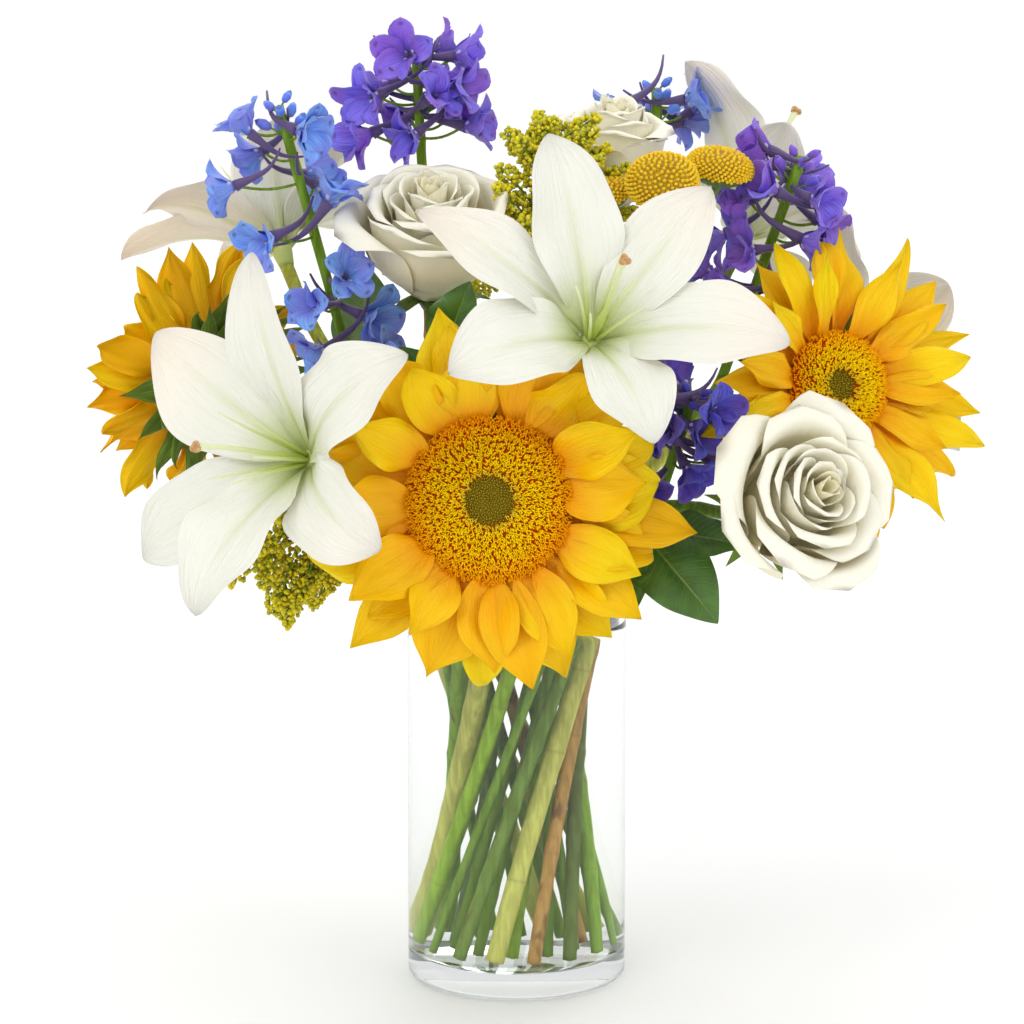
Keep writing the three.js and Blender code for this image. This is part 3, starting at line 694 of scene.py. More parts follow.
def disc_finish(settings):
    """Florets: dark red between them, golden tips, and a green heart. tint is the radius' share."""
    f = Finish("sunflower_disc", rough=0.65, specular=0.1)
    along, ring = f.value("along"), f.value("tint")
    speck = f.noise(900.0, 2.0)
    gold = f.mix(f.ramp(speck, 0.35, 0.7), settings.floret_tip, GOLD)
    gold = f.layer(gold, ORANGE, f.ramp(ring, 0.55, 1.0), 0.75)
    open_floret = f.mix(f.ramp(along, 0.3, 0.9), settings.floret_deep, gold)
    heart = f.mix(f.ramp(along, 0.1, 0.8), HEART_DARK, settings.heart)
    top = f.ramp(f.math("ADD", along, f.times(speck, 0.3)), 1.0, 1.2)
    return f.paint(f.mix(f.ramp(ring, 0.27, 0.40), f.mix(top, heart, HEART_LIGHT), open_floret))


def green_finish(name, base, edge, rough=0.5):
    """Bracts and sepals: green, paler along the ribs, with fine hairs and mottling."""
    f = Finish(name, rough=rough, specular=0.3)
    lines = f.veins(5.0)
    shade = f.mix(f.ramp(lines, 0.4, 0.7), base, edge)
    shade = f.layer(shade, shaded(base, 0.55), f.ramp(f.noise(140.0, 4.0), 0.4, 0.7), 0.4)
    f.bump(lines, 0.0005, 0.6)
    return f.paint(shade)


def lily_finish(settings):
    """White tepals: green-yellow in the throat and along the midrib, and a blush at the tips."""
    f = Finish("lily_petal", rough=0.42, specular=0.35)
    along, tint = f.value("along"), f.value("tint")
    aside = f.size(f.value("across"))
    lines = f.veins(8.0)
    base = f.layer(settings.white, LILY_VEIN, f.ramp(lines, 0.45, 0.8), 0.22)
    rib = f.times(f.ramp(aside, 0.20, 0.0), f.ramp(along, 0.95, 0.25))
    base = f.layer(base, settings.throat, rib, 0.30)
    deep = f.math("SUBTRACT", f.ramp(along, 0.42, 0.0), f.times(aside, 0.12), True)
    base = f.layer(base, settings.throat, deep, 0.85)
    flush = f.times(f.ramp(along, 0.45, 0.95), f.times(f.ramp(tint, 0.2, 0.9), 0.75))
    base = f.mix(flush, base, settings.blush)
    back = f.mix(f.ramp(aside, 0.25, 0.0), settings.blush, settings.throat)
    base = f.layer(base, back, f.value("under"), 0.10)
    f.soft(0.12, (1.0, 0.9, 0.65))
    f.bump(lines, 0.0011, 0.8)
    return f.paint(base)


def pistil_finish(settings):
    """Style and filaments pale green, and a brown velvety stigma where tint is 1."""
    f = Finish("lily_pistil", rough=0.5, specular=0.3)
    grain = f.noise(700.0, 2.0)
    base = f.mix(f.ramp(f.value("along"), 0.0, 1.0), settings.throat, STYLE_PALE)
    end = f.mix(f.ramp(grain, 0.4, 0.65), settings.stigma, STIGMA_LIGHT)
    f.bump(grain, 0.0003, 0.4)
    return f.paint(f.mix(f.value("tint"), base, end))


def rose_finish(settings):
    """Cream petals, warmer deep in the bloom, faintly veined."""
    f = Finish("rose_petal", rough=0.55, specular=0.25, Sheen_Weight=0.15)
    lines = f.veins(9.0)
    # Towards the petals' roots and on the inner petals: the rose's own warm tone with painted shade.
    base = f.layer(settings.cream, settings.depth, f.ramp(f.value("along"), 0.9, 0.35), 0.55)
    base = f.layer(base, settings.depth, f.ramp(f.value("tint"), 0.35, 0.0), 0.45)
    base = f.layer(base, ROSE_VEIN, f.ramp(lines, 0.5, 0.8), 0.12)
    f.soft(0.06, (1.0, 0.85, 0.5))
    f.bump(lines, 0.0003, 0.4)
    return f.paint(base)


def delphinium_finish(name, base, bee):
    """Blue sepals with darker veins, violet patches and a dark eye; spurs, bees and pupils by tint."""
    f = Finish(name, rough=0.5, specular=0.3, Sheen_Weight=0.2)
    along, tint = f.value("along"), f.value("tint")
    lines = f.veins(6.0)
    violet = (min(1, base[0] * 1.6 + 0.06), base[1] * 0.75, base[2] * 0.85)
    shade = f.mix(f.ramp(lines, 0.35, 0.7), shaded(base, 1.7, 0.04), base)
    shade = f.layer(shade, violet, f.ramp(f.noise(45.0, 2.0), 0.42, 0.62), 0.6)
    # Darker towards the floret's middle: painted shade inside the cup.
    shade = f.layer(shade, shaded(base, 0.5), f.ramp(along, 0.5, 0.0), 0.5)
    shade = f.layer(shade, violet, f.value("under"), 0.25)
    near = f.ramp(f.size(f.math("SUBTRACT", along, 0.86)), 0.06, 0.02)
    shade = f.layer(shade, EYE, f.times(near, f.ramp(f.size(f.value("across")), 0.5, 0.1)), 0.6)
    for low, high, tone in ((1.1, 1.15, SPUR), (1.5, 1.6, bee), (2.5, 2.6, PUPIL)):
        shade = f.mix(f.ramp(tint, low, high), shade, tone)
    f.soft(0.15, (0.4, 0.4, 1.0))
    f.bump(lines, 0.0003, 0.5)
    return f.paint(shade)


def stem_finish(name, base, scar, spots):
    """Stem skin: lengthwise streaks in two greens, paler to the foot, with brown scars."""
    f = Finish(name, rough=0.45, specular=0.14)
    streak = f.noise(60.0, 4.0, 0.6, stretch=(6.0, 6.0, 0.5))
    patch = f.noise(55.0, 3.0, 0.6, stretch=(1.0, 1.0, 0.45))
    pale = shaded(base, 1.5, 0.03)
    shade = f.mix(f.ramp(streak, 0.35, 0.68), base, pale)
    shade = f.layer(shade, pale, f.ramp(f.value("along"), 0.5, 0.0), 0.4)
    shade = f.layer(shade, scar, f.ramp(f.value("tint"), 0.5, 1.0), 0.5)
    shade = f.layer(shade, scar, f.ramp(patch, 0.68 - spots, 0.76 - spots), 0.8)
    f.bump(streak, 0.0005, 0.6)
    return f.paint(shade)


def bud_finish(name, ripe, green, scale):
    """Tiny buds: each has its own mix of ripe and green, darker at its foot."""
    f = Finish(name, rough=0.6, specular=0.25, Sheen_Weight=0.15)
    base = f.mix(f.ramp(f.value("tint"), 0.15, 0.8), green, ripe)
    # Darker at each bud's foot: painted shade where the buds crowd together.
    base = f.mix(f.ramp(f.value("along"), 0.45, 0.0), base, shaded(green, 0.45))
    grain = f.noise(scale, 2.0)
    base = f.layer(base, shaded(ripe, 1.5), f.ramp(grain, 0.5, 0.75), 0.4)
    f.bump(grain, 0.0002, 0.4)
    return f.paint(base)


def leaf_finish(settings):
    """Waxy leaves: a pale midrib and side veins that slant to the edge, lighter underneath."""
    f = Finish("leaf", rough=0.36, specular=0.5)
    aside = f.size(f.value("across"))
    slant = f.math("SUBTRACT", f.times(f.value("along"), 15.0), f.times(aside, 2.6))
    wave = f.size(f.math("SUBTRACT", f.math("FRACT", slant), 0.5))
    side_vein = f.times(f.ramp(wave, 0.07, 0.0), f.ramp(aside, 1.0, 0.6))
    line = f.math("MAXIMUM", side_vein, f.ramp(aside, 0.06, 0.015))
    patch = f.noise(90.0, 4.0)
    base = f.mix(f.ramp(patch, 0.3, 0.7), settings.leaf, shaded(settings.leaf, 1.6))
    base = f.mix(f.value("under"), base, settings.leaf_under)
    base = f.layer(base, settings.vein, line, 0.7)
    f.bump(f.math("ADD", f.times(line, -1.0), f.times(patch, 0.3)), 0.0006, 0.6)
    return f.paint(base)


def clear_finish(name, tint, ior, shadow, gloss):
    """Clear glass or water. Light that casts shadows passes straight through, tinted."""
    f = Finish(name, rough=0.0, specular=gloss, Transmission_Weight=1.0, IOR=ior)
    f.bump(f.noise(9.0, 1.0), 0.0004, 0.12)
    either = f.add("MixShader")
    f.feed(either.inputs[0], f.add("LightPath").outputs["Is Shadow Ray"])
    f.feed(either.inputs[1], f.shader.outputs[0])
    f.feed(either.inputs[2], f.add("BsdfTransparent", Color=shadow).outputs[0])
    f.set(f.tree.nodes["Material Output"], Surface=either.outputs[0])
    return f.paint(tint)


# ------------------------------------------------------------------ vase and water


def arc(centre, radius, first, last, count):
    """Points (r, z) of an arc in a lathe's profile, between two angles from the outward direction."""
    a = np.radians(np.linspace(first, last, count))
    return [(centre[0] + radius * math.cos(t), centre[1] + radius * math.sin(t)) for t in a]


HEEL = 4.0  # radius of the vase's outer bottom edge
CORNER = 3.2  # radius of the corner inside, over the foot
OVERLAP = 0.12  # how far the water reaches into the glass
# Both under the real ones, which lay a milky veil over the stems.
GLASS_IOR, WATER_IOR = 1.32, 1.22


def vase_sizes(s):
    """The vase's foot and top, outer radius, wall, and thickness of its foot."""
    low, high = (np.array(v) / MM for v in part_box("vase"))
    return low[2], high[2], high[0], s.glass.wall / MM, s.glass.floor / MM


def build_vase(s):
    """A lathe of the wall: foot, rounded heel, straight wall, rounded lip, and the well inside."""
    foot, top, radius, wall, base = vase_sizes(s)
    lip = wall / 2
    inner = radius - wall
    profile = [(0, 0.7), (radius * 0.62, 0.5), (radius * 0.76, 0.0)]
    profile += arc((radius - HEEL, HEEL), HEEL, -90, 0, 10)
    profile += [(radius, z) for z in np.linspace(20, top - 12, 8)]
    profile += arc((radius - lip, top - lip), lip, 0, 180, 13)
    profile += [(inner, z) for z in np.linspace(top - 12, 26, 8)]
    profile += arc((inner - CORNER, base + CORNER), CORNER, 0, -90, 10)
    profile += [(inner * 0.55, base + 0.3), (0, base + 0.6)]
    skin = Skin()
    add_lathe(skin, (np.array([0.0, 0.0, foot]), np.eye(3)), profile, s.glass.sides)
    glass = clear_finish("glass", s.glass.tint, GLASS_IOR, (0.93, 0.96, 0.95), 0.4)
    skin.piece("vase_glass", glass, "glass", "vase")


def build_water(s):
    """A lathe that reaches a hair into the glass, with a rim that climbs it."""
    _, _, outer, wall, base = vase_sizes(s)
    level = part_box("water")[1][2] / MM
    radius = outer - wall + OVERLAP
    climb = s.glass.meniscus / MM
    profile = [(0, base + 0.5), (radius * 0.55, base + 0.2)]
    profile += arc((radius - CORNER, base + CORNER - OVERLAP), CORNER, -90, 0, 9)
    profile += [(radius, z) for z in np.linspace(30, level - 2, 6)] + [(radius, level + climb)]
    away = np.linspace(0.15, 9.0, 10)
    profile += [(radius - d, level + climb * math.exp(-d / 1.8)) for d in away]
    profile += [(0, level)]
    skin = Skin()
    add_lathe(skin, (np.zeros(3), np.eye(3)), profile, s.glass.sides)
    water = clear_finish("water", s.glass.water_tint, WATER_IOR, (0.97, 0.98, 0.96), 0.3)
    skin.piece("vase_water", water, "water", "water")


# ------------------------------------------------------------------ stems


SLIM = 0.9  # radius of a stem's skin, as a share of the frame's
# base colour of a stem, and how many brown spots it has
STEM_TONES = (
    (0.19, 0.34, 0.01, 0.0), (0.34, 0.36, 0.04, 0.04), (0.09, 0.14, 0.01, 0.0),
    (0.42, 0.23, 0.05, 0.15), (0.13, 0.22, 0.02, 0.04), (0.25, 0.42, 0.01, 0.0),
)


def toned_stem(s, node, seed):
    """The skin of one stem, in one of the tones."""
    *tone, spots = STEM_TONES[seed % len(STEM_TONES)]
    return stem_finish(node, tuple(tone), s.stem.scar, spots)


def add_stem(skin, stem, seed, knuckle, sides=14, flutes=0.04):
    """A stem's skin: a round tube on the CAD middle line, with joints that stand out and fine flutes.

    Its radius is r (1 + knuckle * sum of exp(-(d / 3)^2)) (1 + flutes cos(5 a)), d from each joint.
    """
    rng = np.random.default_rng(seed)
    run = np.linalg.norm(np.diff(stem.line, axis=0), axis=1).sum()
    count = int(run / 3.2)
    path = smooth_path(stem.line, count)
    t = np.linspace(0, run, count)
    joints = np.cumsum(rng.uniform(28, 62, 12))
    bulge = sum(np.exp(-(((t - j) / 3.0) ** 2)) for j in joints if j < run - 12)
    wobble = 1 + 0.03 * np.sin(t / 17 + seed) + 0.02 * np.sin(t / 6.1 + 2 * seed)
    radii = SLIM * stem.radius * wobble * (1 + knuckle * bulge)
    a = circle(sides)[None]
    round_ = 1 + flutes * np.cos(5 * a + t[:, None] / 40)
    add_tube(
        skin, path, radii, sides, bend=round_, along=np.clip(t / 190, 0, 1)[None, :, None],
        tint=0.75 * np.clip(bulge, 0, 1)[None, :, None],
    )
    return path


def stem_piece(node, material, slot, seed, knuckle):
    """A stem that is a piece of its own."""
    skin = Skin()
    add_stem(skin, stem_line(node), seed, knuckle)
    skin.piece(node + "_skin", material, slot, node)


# ------------------------------------------------------------------ sunflowers

# side, disc radius, petals, their length and width, first and last lean, seed
SUNFLOWERS = (
    ("centre", 35, 24, 52, 27, 72, 92, 3),
    ("right", 23, 22, 54, 16, 60, 90, 8),
    ("left", 23, 23, 44, 17, 58, 84, 5),
)
HEAD_BACK = 23.2  # from the end of a stem to the face of its flower
PETAL_SEAT = -10.4  # height of the ring that the petals grow from
DISC_FLORETS = 2300  # in a disc of 35 mm radius


def build_sunflowers(s):
    """Three sunflowers: petals, disc, calyx and stem of each."""
    f = s.sunflower
    petals, discs = petal_finish(f), disc_finish(f)
    bracts = green_finish("bract", f.bract, shaded(f.bract, 2.1), 0.6)
    pale = stem_finish("pale_stem", s.stem.pale, s.stem.scar, 0.0)
    for side, radius, count, long, wide, opens, turns, seed in SUNFLOWERS:
        name = f"sunflower_{side}"
        stem = stem_line(name + "_stem")
        head = head_frame(stem.end + HEAD_BACK * stem.faces, stem.faces)
        rng = np.random.default_rng(seed)
        sunflower_petals(f, name, head, radius, count, long, wide, opens, turns, rng, petals)
        sunflower_disc(name, head, radius, rng, discs)
        sunflower_calyx(name, head, radius, opens, turns, stem.radius, rng, bracts)
        stem_piece(name + "_stem", pale, "pale_stem", seed, 0.06)


def sunflower_petals(f, name, head, radius, count, long, wide, opens, turns, rng, material):
    """Three rows of broad, ruffled, pointed petals; the front row is shorter and curls forwards."""
    n = int(round(count * f.crowd))
    i = np.arange(n)
    row = i % 3
    jitter = rng.normal(size=(9, n))
    skin = Skin()
    add_lathe(
        skin, head,
        [(0, -12.4), (radius - 2, -12.4), (radius - 1, -11), (radius - 3, -9.4), (0, -9.4)], 48,
        along=0.05, tint=0.2,
    )
    add_blades(
        skin, head, tint=rng.uniform(0, 1, n), rings=24, across=15, thick=f.petal_thick / MM,
        angle=360 * i / n + 3.0 * jitter[0],
        start=radius - np.array([4.5, 3.5, 2.5])[row],
        rise=PETAL_SEAT + np.array([1.6, 0.2, -1.2])[row],
        opens=opens + np.array([-8, 2, 10])[row] + 6 * jitter[1],
        turns=turns + np.array([-6, 2, 10])[row] + 10 * jitter[2],
        curl=np.array([-34, 8, 18])[row] + 32 * jitter[3],
        length=long * np.array([0.84, 1.0, 1.05])[row] * (1 + 0.07 * jitter[4]),
        width=wide * np.array([1.0, 1.08, 0.95])[row] * (1 + 0.10 * jitter[5]),
        belly=0.50, blunt=0.82, cup=0.24 + 0.08 * jitter[6],
        ruffle=f.ruffle / MM * (1 + 0.3 * jitter[7]), waves=1.2 + 0.8 * rng.random(n),
        phase=rng.uniform(0, 6.3, n), pleat=0.85, crease=1.2, twist=20 * jitter[8],
        sway=0.07 * rng.normal(size=n), fold=0.12 * rng.normal(size=n), nib=0.45,
    )
    skin.piece(name + "_rays", material, "sunflower_petal", name + "_petals")


def sunflower_disc(name, head, radius, rng, material):
    """Florets on a golden-angle spiral over a shallow ring-shaped cushion.

    Floret i lies at radius R sqrt((i + 0.5) / n) and turn i * 137.508 degrees; the cushion's height
    rises from a sunken middle to a crest at 0.6 R and falls to the rim.
    """
    crest_at, crest = (0, 0.3, 0.6, 0.86, 1.0), (-4.2, -3.2, -2.4, -3.6, -6.6)
    shares = np.linspace(0, 1, 16)
    top = [(radius * q, np.interp(q, crest_at, crest)) for q in shares[::-1]]
    skin = Skin()
    ring = np.concatenate([[1.0], shares[::-1][:-1]])[None, :, None]
    add_lathe(skin, head, [(0, -8.8), (radius - 3, -8.8)] + top, 48, along=0.0, tint=ring)
    n = int(DISC_FLORETS * (radius / 35) ** 1.6)
    q, a = spiral(n)
    out = np.stack([np.cos(a), np.sin(a), np.zeros(n)], axis=-1)
    height = np.interp(q, crest_at, crest)
    at = out * (radius * 0.985 * q)[:, None] + UP * (height - 0.4)[:, None]
    lean = np.interp(q, (0, 0.35, 0.7, 1.0), (0.0, -0.25, 0.25, 0.85))
    towards = out * lean[:, None] + UP + 0.16 * rng.normal(size=(n, 3))
    closed = q < 0.33
    tall = np.where(closed, 2.3, 3.6 + 0.7 * rng.random(n))
    wide = np.where(closed, 0.56, 0.46) * (radius / 35) ** 0.2
    wide = wide * np.interp(q, (0, 0.3, 1), (0.75, 0.9, 1.15))
    # A bud is a plain cone; an open floret has a narrow neck and spreads at its mouth.
    bud = [(0, 0), (0.12, 0.9), (0.6, 0.85), (1.0, 0)]
    mouth = [(0, 0), (0.1, 0.75), (0.5, 0.6), (0.82, 1.15), (0.97, 0.8), (0.78, 0)]
    for kind, profile in ((closed, bud), (~closed, mouth)):
        at_k, to_k = carry(at[kind], head), unit(towards[kind]) @ head[1]
        add_beads(
            skin, at_k, to_k, tall[kind], wide[kind], profile, 4,
            tint=q[kind].reshape(-1, 1, 1),
        )
    # Curled stigmas stand over the open florets.
    k = np.flatnonzero(~closed)
    for turn in (-0.5, 0.5):
        tip = at[k] + unit(towards[k]) * tall[k][:, None] * 0.8
        aside = np.stack([np.cos(a[k] + turn), np.sin(a[k] + turn), np.full(len(k), 0.7)], axis=-1)
        aside = aside + 0.3 * rng.normal(0, 1, (len(k), 3))
        add_beads(
            skin, carry(tip, head), unit(aside) @ head[1], 2.0, 0.30,
            [(-0.1, 0), (0.3, 1.0), (0.8, 0.9), (1.0, 0)], 4,
            along=1.0, tint=q[k].reshape(-1, 1, 1) * 0.9,
        )
    skin.piece(name + "_florets", material, "sunflower_disc", name + "_disc")


def sunflower_calyx(name, head, radius, opens, turns, stem_radius, rng, material):
    """A green dish under the flower, with three rows of bracts that end in long points."""
    skin = Skin()
    top, end = -12.7, -HEAD_BACK + 0.2
    add_lathe(
        skin, head,
        [(0, end), (stem_radius + 0.4, end), (stem_radius + 2.5, end + 0.8),
         (radius * 0.45, end + 2.8), (radius * 0.78, top - 4.2), (radius - 2, top - 1.2),
         (radius - 3, top), (0, top)], 40, along=0.3,
    )
    for row, (n, reach, lean) in enumerate(((13, 0.80, 4), (13, 0.70, 22), (11, 0.5, 42))):
        i = np.arange(n)
        j = rng.normal(size=(5, n))
        add_blades(
            skin, head, tint=rng.uniform(0, 1, n), rings=14, across=9, thick=0.8,
            angle=360 * (i + 0.33 * row) / n + 4 * j[0],
            start=radius * reach, rise=top - 2.6 - 2.4 * row,
            opens=opens + 22 + lean + 5 * j[1], turns=turns + 16 + lean + 12 * j[2],
            curl=26 + 26 * j[3],
            length=(radius * 0.1 + 29) * (1 + 0.1 * j[4]), width=13.5, belly=0.26, blunt=1.25,
            cup=0.18, ruffle=0.6, phase=rng.uniform(0, 6.3, n), crease=0.5, twist=8 * j[0],
        )
    skin.piece(name + "_bracts", material, "bract", name + "_calyx")


# ------------------------------------------------------------------ lilies

# Tepals: turn round the head, first and last lean, length, width
LILIES = (
    ("centre", 11, ((101, 44, 68, 92, 42), (41, 42, 72, 84, 38), (-17, 38, 88, 92, 44),
                    (-78, 41, 97, 72, 38), (-163, 43, 103, 80, 44), (147, 49, 89, 97, 33))),
    ("left", 12, ((90, 42, 72, 101, 38), (146, 44, 78, 88, 52), (-146, 60, 100, 100, 40),
                  (-99, 32, 72, 90, 44), (-34, 38, 136, 68, 42), (38, 42, 106, 94, 42))),
    ("back_left", 13, ((8, 40, 96, 76, 40), (80, 26, 46, 62, 40), (140, 34, 70, 72, 36),
                       (200, 44, 98, 78, 38), (260, 44, 100, 76, 34), (-40, 40, 98, 80, 40))),
    ("back_right", 14, ((62, 22, 66, 88, 42), (120, 24, 52, 58, 34), (178, 40, 86, 50, 32),
                        (240, 44, 96, 66, 38), (300, 44, 100, 66, 34), (0, 40, 96, 66, 36))),
    ("far_right", 15, (30, 88)),
)
LILY_BACK = 10.4  # from the end of a stem to the lily's throat
PISTIL = 70  # length of a pistil


def even_tepals(first, long):
    """Six tepals in two whorls: three wide inner ones, and three narrower ones between them."""
    rows = ((first + 60 * i, i % 2) for i in range(6))
    return [(turn, 44, 96 + 6 * odd, long - 3 * odd, 38 - 6 * odd) for turn, odd in rows]


def build_lilies(s):
    """Five lilies: tepals, pistil and stem of each."""
    f = s.lily
    white, centre = lily_finish(f), pistil_finish(f)
    for side, seed, spec in LILIES:
        name = f"lily_{side}"
        stem = stem_line(name + "_stem")
        head = head_frame(stem.end + LILY_BACK * stem.faces, stem.faces)
        tepals = np.array(spec if len(spec) == 6 else even_tepals(*spec), float)
        rng = np.random.default_rng(seed)
        lily_tepals(f, name, head, tepals, rng, white)
        lily_pistil(name, head, tepals, rng, centre)
        green = toned_stem(s, name + "_stem", seed)
        stem_piece(name + "_stem", green, "green_stem", seed, s.stem.knuckle)


def lily_tepals(f, name, head, tepals, rng, material):
    """Six broad tepals with wavy edges and a crease along the middle, joined in a short cone."""
    angle, opens, turns, long, wide = tepals.T
    n = len(angle)
    skin = Skin()
    add_lathe(
        skin, head,
        [(0, -10.4), (3.4, -10.2), (3.9, -8), (4.6, -4), (5.0, -1.5), (3.5, -0.4), (0, 0)], 24,
        along=0.0, tint=0.0,
    )
    add_blades(
        skin, head, tint=rng.uniform(0.2, 1, n), rings=44, across=31, thick=f.tepal_thick / MM,
        angle=angle, start=2.5, rise=-3 + 0.8 * (np.arange(n) % 2), opens=opens, turns=turns,
        curl=12 + 10 * rng.normal(size=n), length=long, width=wide, belly=0.56, blunt=0.74,
        cup=0.20, ruffle=1.2 * f.ruffle / MM * rng.uniform(0.6, 1.4, n), waves=1.6 + rng.random(n),
        phase=rng.uniform(0, 6.3, n), pleat=0.35, crease=2.6, twist=5 * rng.normal(size=n),
        sway=0.03 * rng.normal(size=n), fold=0.05,
    )
    skin.piece(name + "_tepals", material, "lily_petal", name + "_petals")


def lily_pistil(name, head, tepals, rng, material):
    """A green ovary and a curved style with a three-lobed end, and six tapering filaments."""
    skin = Skin()
    t = np.linspace(0, 1, 26)
    path = np.stack([1.6 * np.sin(np.pi * t), 2.4 * t**2 * (1 - t) * 4, 1 + (PISTIL - 4) * t], axis=-1)
    radii = np.interp(t, (0, 0.22, 0.3, 0.9, 1), (2.0, 2.1, 1.15, 1.1, 1.7))
    add_tube(skin, carry(path, head), radii, 12, tint=0.0)
    for turn in (90, 210, 330):
        a = np.radians(turn)
        out = np.array([math.cos(a), math.sin(a), 0.0])
        lobe = path[-1] + np.outer(np.linspace(0, 1, 7), out * 2.6)
        lobe = lobe + np.outer((-0.8, 0.2, 0.9, 1.2, 1.2, 0.9, 0.3), (0, 0, 1.0))
        add_tube(skin, carry(lobe, head), (0.5, 1.3, 1.7, 1.8, 1.6, 1.2, 0.5), 10, tint=1.0)
    for turn in tepals[:, 0] + 30:
        a = np.radians(turn)
        lean = np.radians(13 + 3 * rng.normal())
        long = 46 + 5 * rng.random()
        r = 2.2 + long * np.sin(lean) * t**0.9 + 2.5 * t**3
        line = np.stack([r * math.cos(a), r * math.sin(a), 0.5 + long * np.cos(lean) * t], axis=-1)
        add_tube(skin, carry(line, head), np.interp(t, (0, 0.9, 1), (1.0, 0.5, 0.35)), 8, tint=0.0)
    skin.piece(name + "_style", material, "lily_pistil", name + "_pistil")


# ------------------------------------------------------------------ roses

# side, radius in the frame, how far the outer petals open beyond it, how the bloom leans off its
# stem, seed
ROSES = (
    ("upper_left", 31, 1.22, (0, -0.1, 0), 21), ("right", 33, 1.22, (0.12, 0.05, 0.24), 22),
    ("back", 27, 1.05, (0, 0, 0), 23), ("low_back", 29, 1.08, (0, 0, 0.2), 24),
)


def rose_petals(radius, spread, n, rng, thick):
    """Cupped petals on a golden-angle spiral, from a tight bud outwards.

    With t from 0 for the innermost petal to 1, a petal is a patch of a bowl: at u along it and s
    across, its turn is its own angle + s times its half angle times sin(pi u^0.75)^0.42, its
    distance from the axis is rho(t) (1 - (1 - u)^(2.4 + 2.4 t)) + a roll outwards near the lip, and
    its height runs from the hip to its lip, lowered by the roll.
    """
    i = np.arange(n)
    t = (i / (n - 1)).reshape(n, 1, 1)
    rings, across = 22, 17
    u = np.linspace(0, 1, rings)[None, :, None]
    s = sideways(across)
    own = np.radians(GOLDEN_ANGLE * i + 5 * rng.normal(size=n)).reshape(n, 1, 1)
    jitter = rng.normal(size=(4, n, 1, 1))
    rho = radius * (0.07 + 0.86 * t**1.05 * (1 + (spread - 1) * t))
    wide = np.radians(118 - 66 * t**0.8)
    turn = own + s * wide * np.sin(np.pi * np.clip(u, 0, 1) ** 0.75) ** 0.42
    lip = np.clip((u - 0.62) / 0.38, 0, 1) ** 2
    roll = radius * (0.03 + 0.24 * t**1.5) * (1 + 0.4 * jitter[0])
    wave = 0.06 * radius * t * np.sin(3.4 * s + 4 * own + jitter[1]) * u**2
    r = rho * (1 - (1 - u) ** (2.4 + 2.4 * t)) * (1 - 0.10 * (1 - t) * u)
    r = r * (1 + 0.05 * t * jitter[3]) + roll * lip * (1 + 0.35 * s**2)
    r = r + 0.05 * radius * (0.4 + t) * s * (1 - 0.5 * u) + wave
    top = radius * (0.92 - 0.46 * t**1.3 + 0.05 * jitter[2])
    foot = -1.05 * radius
    z = foot + (top - foot) * (1 - (1 - u) ** 1.35) - 0.55 * roll * lip**2
    z = z - 0.10 * radius * s**2 * u**2
    mid = np.stack([r * np.cos(turn), r * np.sin(turn), np.broadcast_to(z, turn.shape)], axis=-1)
    mid[:, 0] = mid[:, :1].mean(axis=2)
    mid[:, -1] = mid[:, -1:].mean(axis=2)
    return shell(mid, thick), t


def build_roses(s):
    """Four roses: petals round a core, sepals and stem of each."""
    f = s.rose
    cream = rose_finish(f)
    sepal = green_finish("rose_sepal", s.sunflower.bract, shaded(s.sunflower.bract, 2))
    for side, radius, spread, leans, seed in ROSES:
        name = f"rose_{side}"
        stem = stem_line(name + "_stem")
        faces = unit(stem.faces + np.array(leans, float))
        head = head_frame(stem.end + 9.8 * stem.faces + 1.1 * radius * faces, faces)
        rng = np.random.default_rng(seed)
        skin = Skin()
        made, t = rose_petals(radius, spread, f.petals, rng, f.petal_thick / MM)
        add_sheets(skin, head, made, t)
        add_lathe(
            skin, head,
            [(0, -1.1 * radius), (0.3 * radius, -1.08 * radius), (0.55 * radius, -0.8 * radius),
             (0.5 * radius, -0.2 * radius), (0.2 * radius, 0.2 * radius), (0, 0.3 * radius)], 24,
            along=0.2, tint=0.3,
        )
        skin.piece(name + "_petals", cream, "rose_petal", name + "_bloom")
        rose_sepals(name, head, radius, stem.radius, rng, sepal)
        green = toned_stem(s, name + "_stem", seed)
        stem_piece(name + "_stem", green, "green_stem", seed, s.stem.knuckle)


def rose_sepals(name, head, radius, stem_radius, rng, material):
    """The hip under a bloom, and five narrow sepals that fold back from it."""
    top = -1.1 * radius
    skin = Skin()
    add_lathe(
        skin, head,
        [(0, top - 9.8), (stem_radius, top - 9.6), (stem_radius + 1.2, top - 7.5), (5.6, top - 4.5),
         (5.2, top - 1.5), (4.4, top), (0, top + 0.4)], 20, along=0.3,
    )
    add_blades(
        skin, head, tint=rng.uniform(0, 1, 5), rings=18, across=9, thick=0.8,
        angle=72 * np.arange(5) + 6 * rng.normal(size=5), start=2.5, rise=top - 1.2,
        opens=80, turns=112, curl=20 * rng.normal(size=5), length=27, width=8.5, belly=0.32,
        blunt=1.1, cup=0.15, crease=0.6, ruffle=0.5, phase=rng.uniform(0, 6.3, 5),
    )
    skin.piece(name + "_hip", material, "bract", name + "_sepals")


# ------------------------------------------------------------------ delphiniums

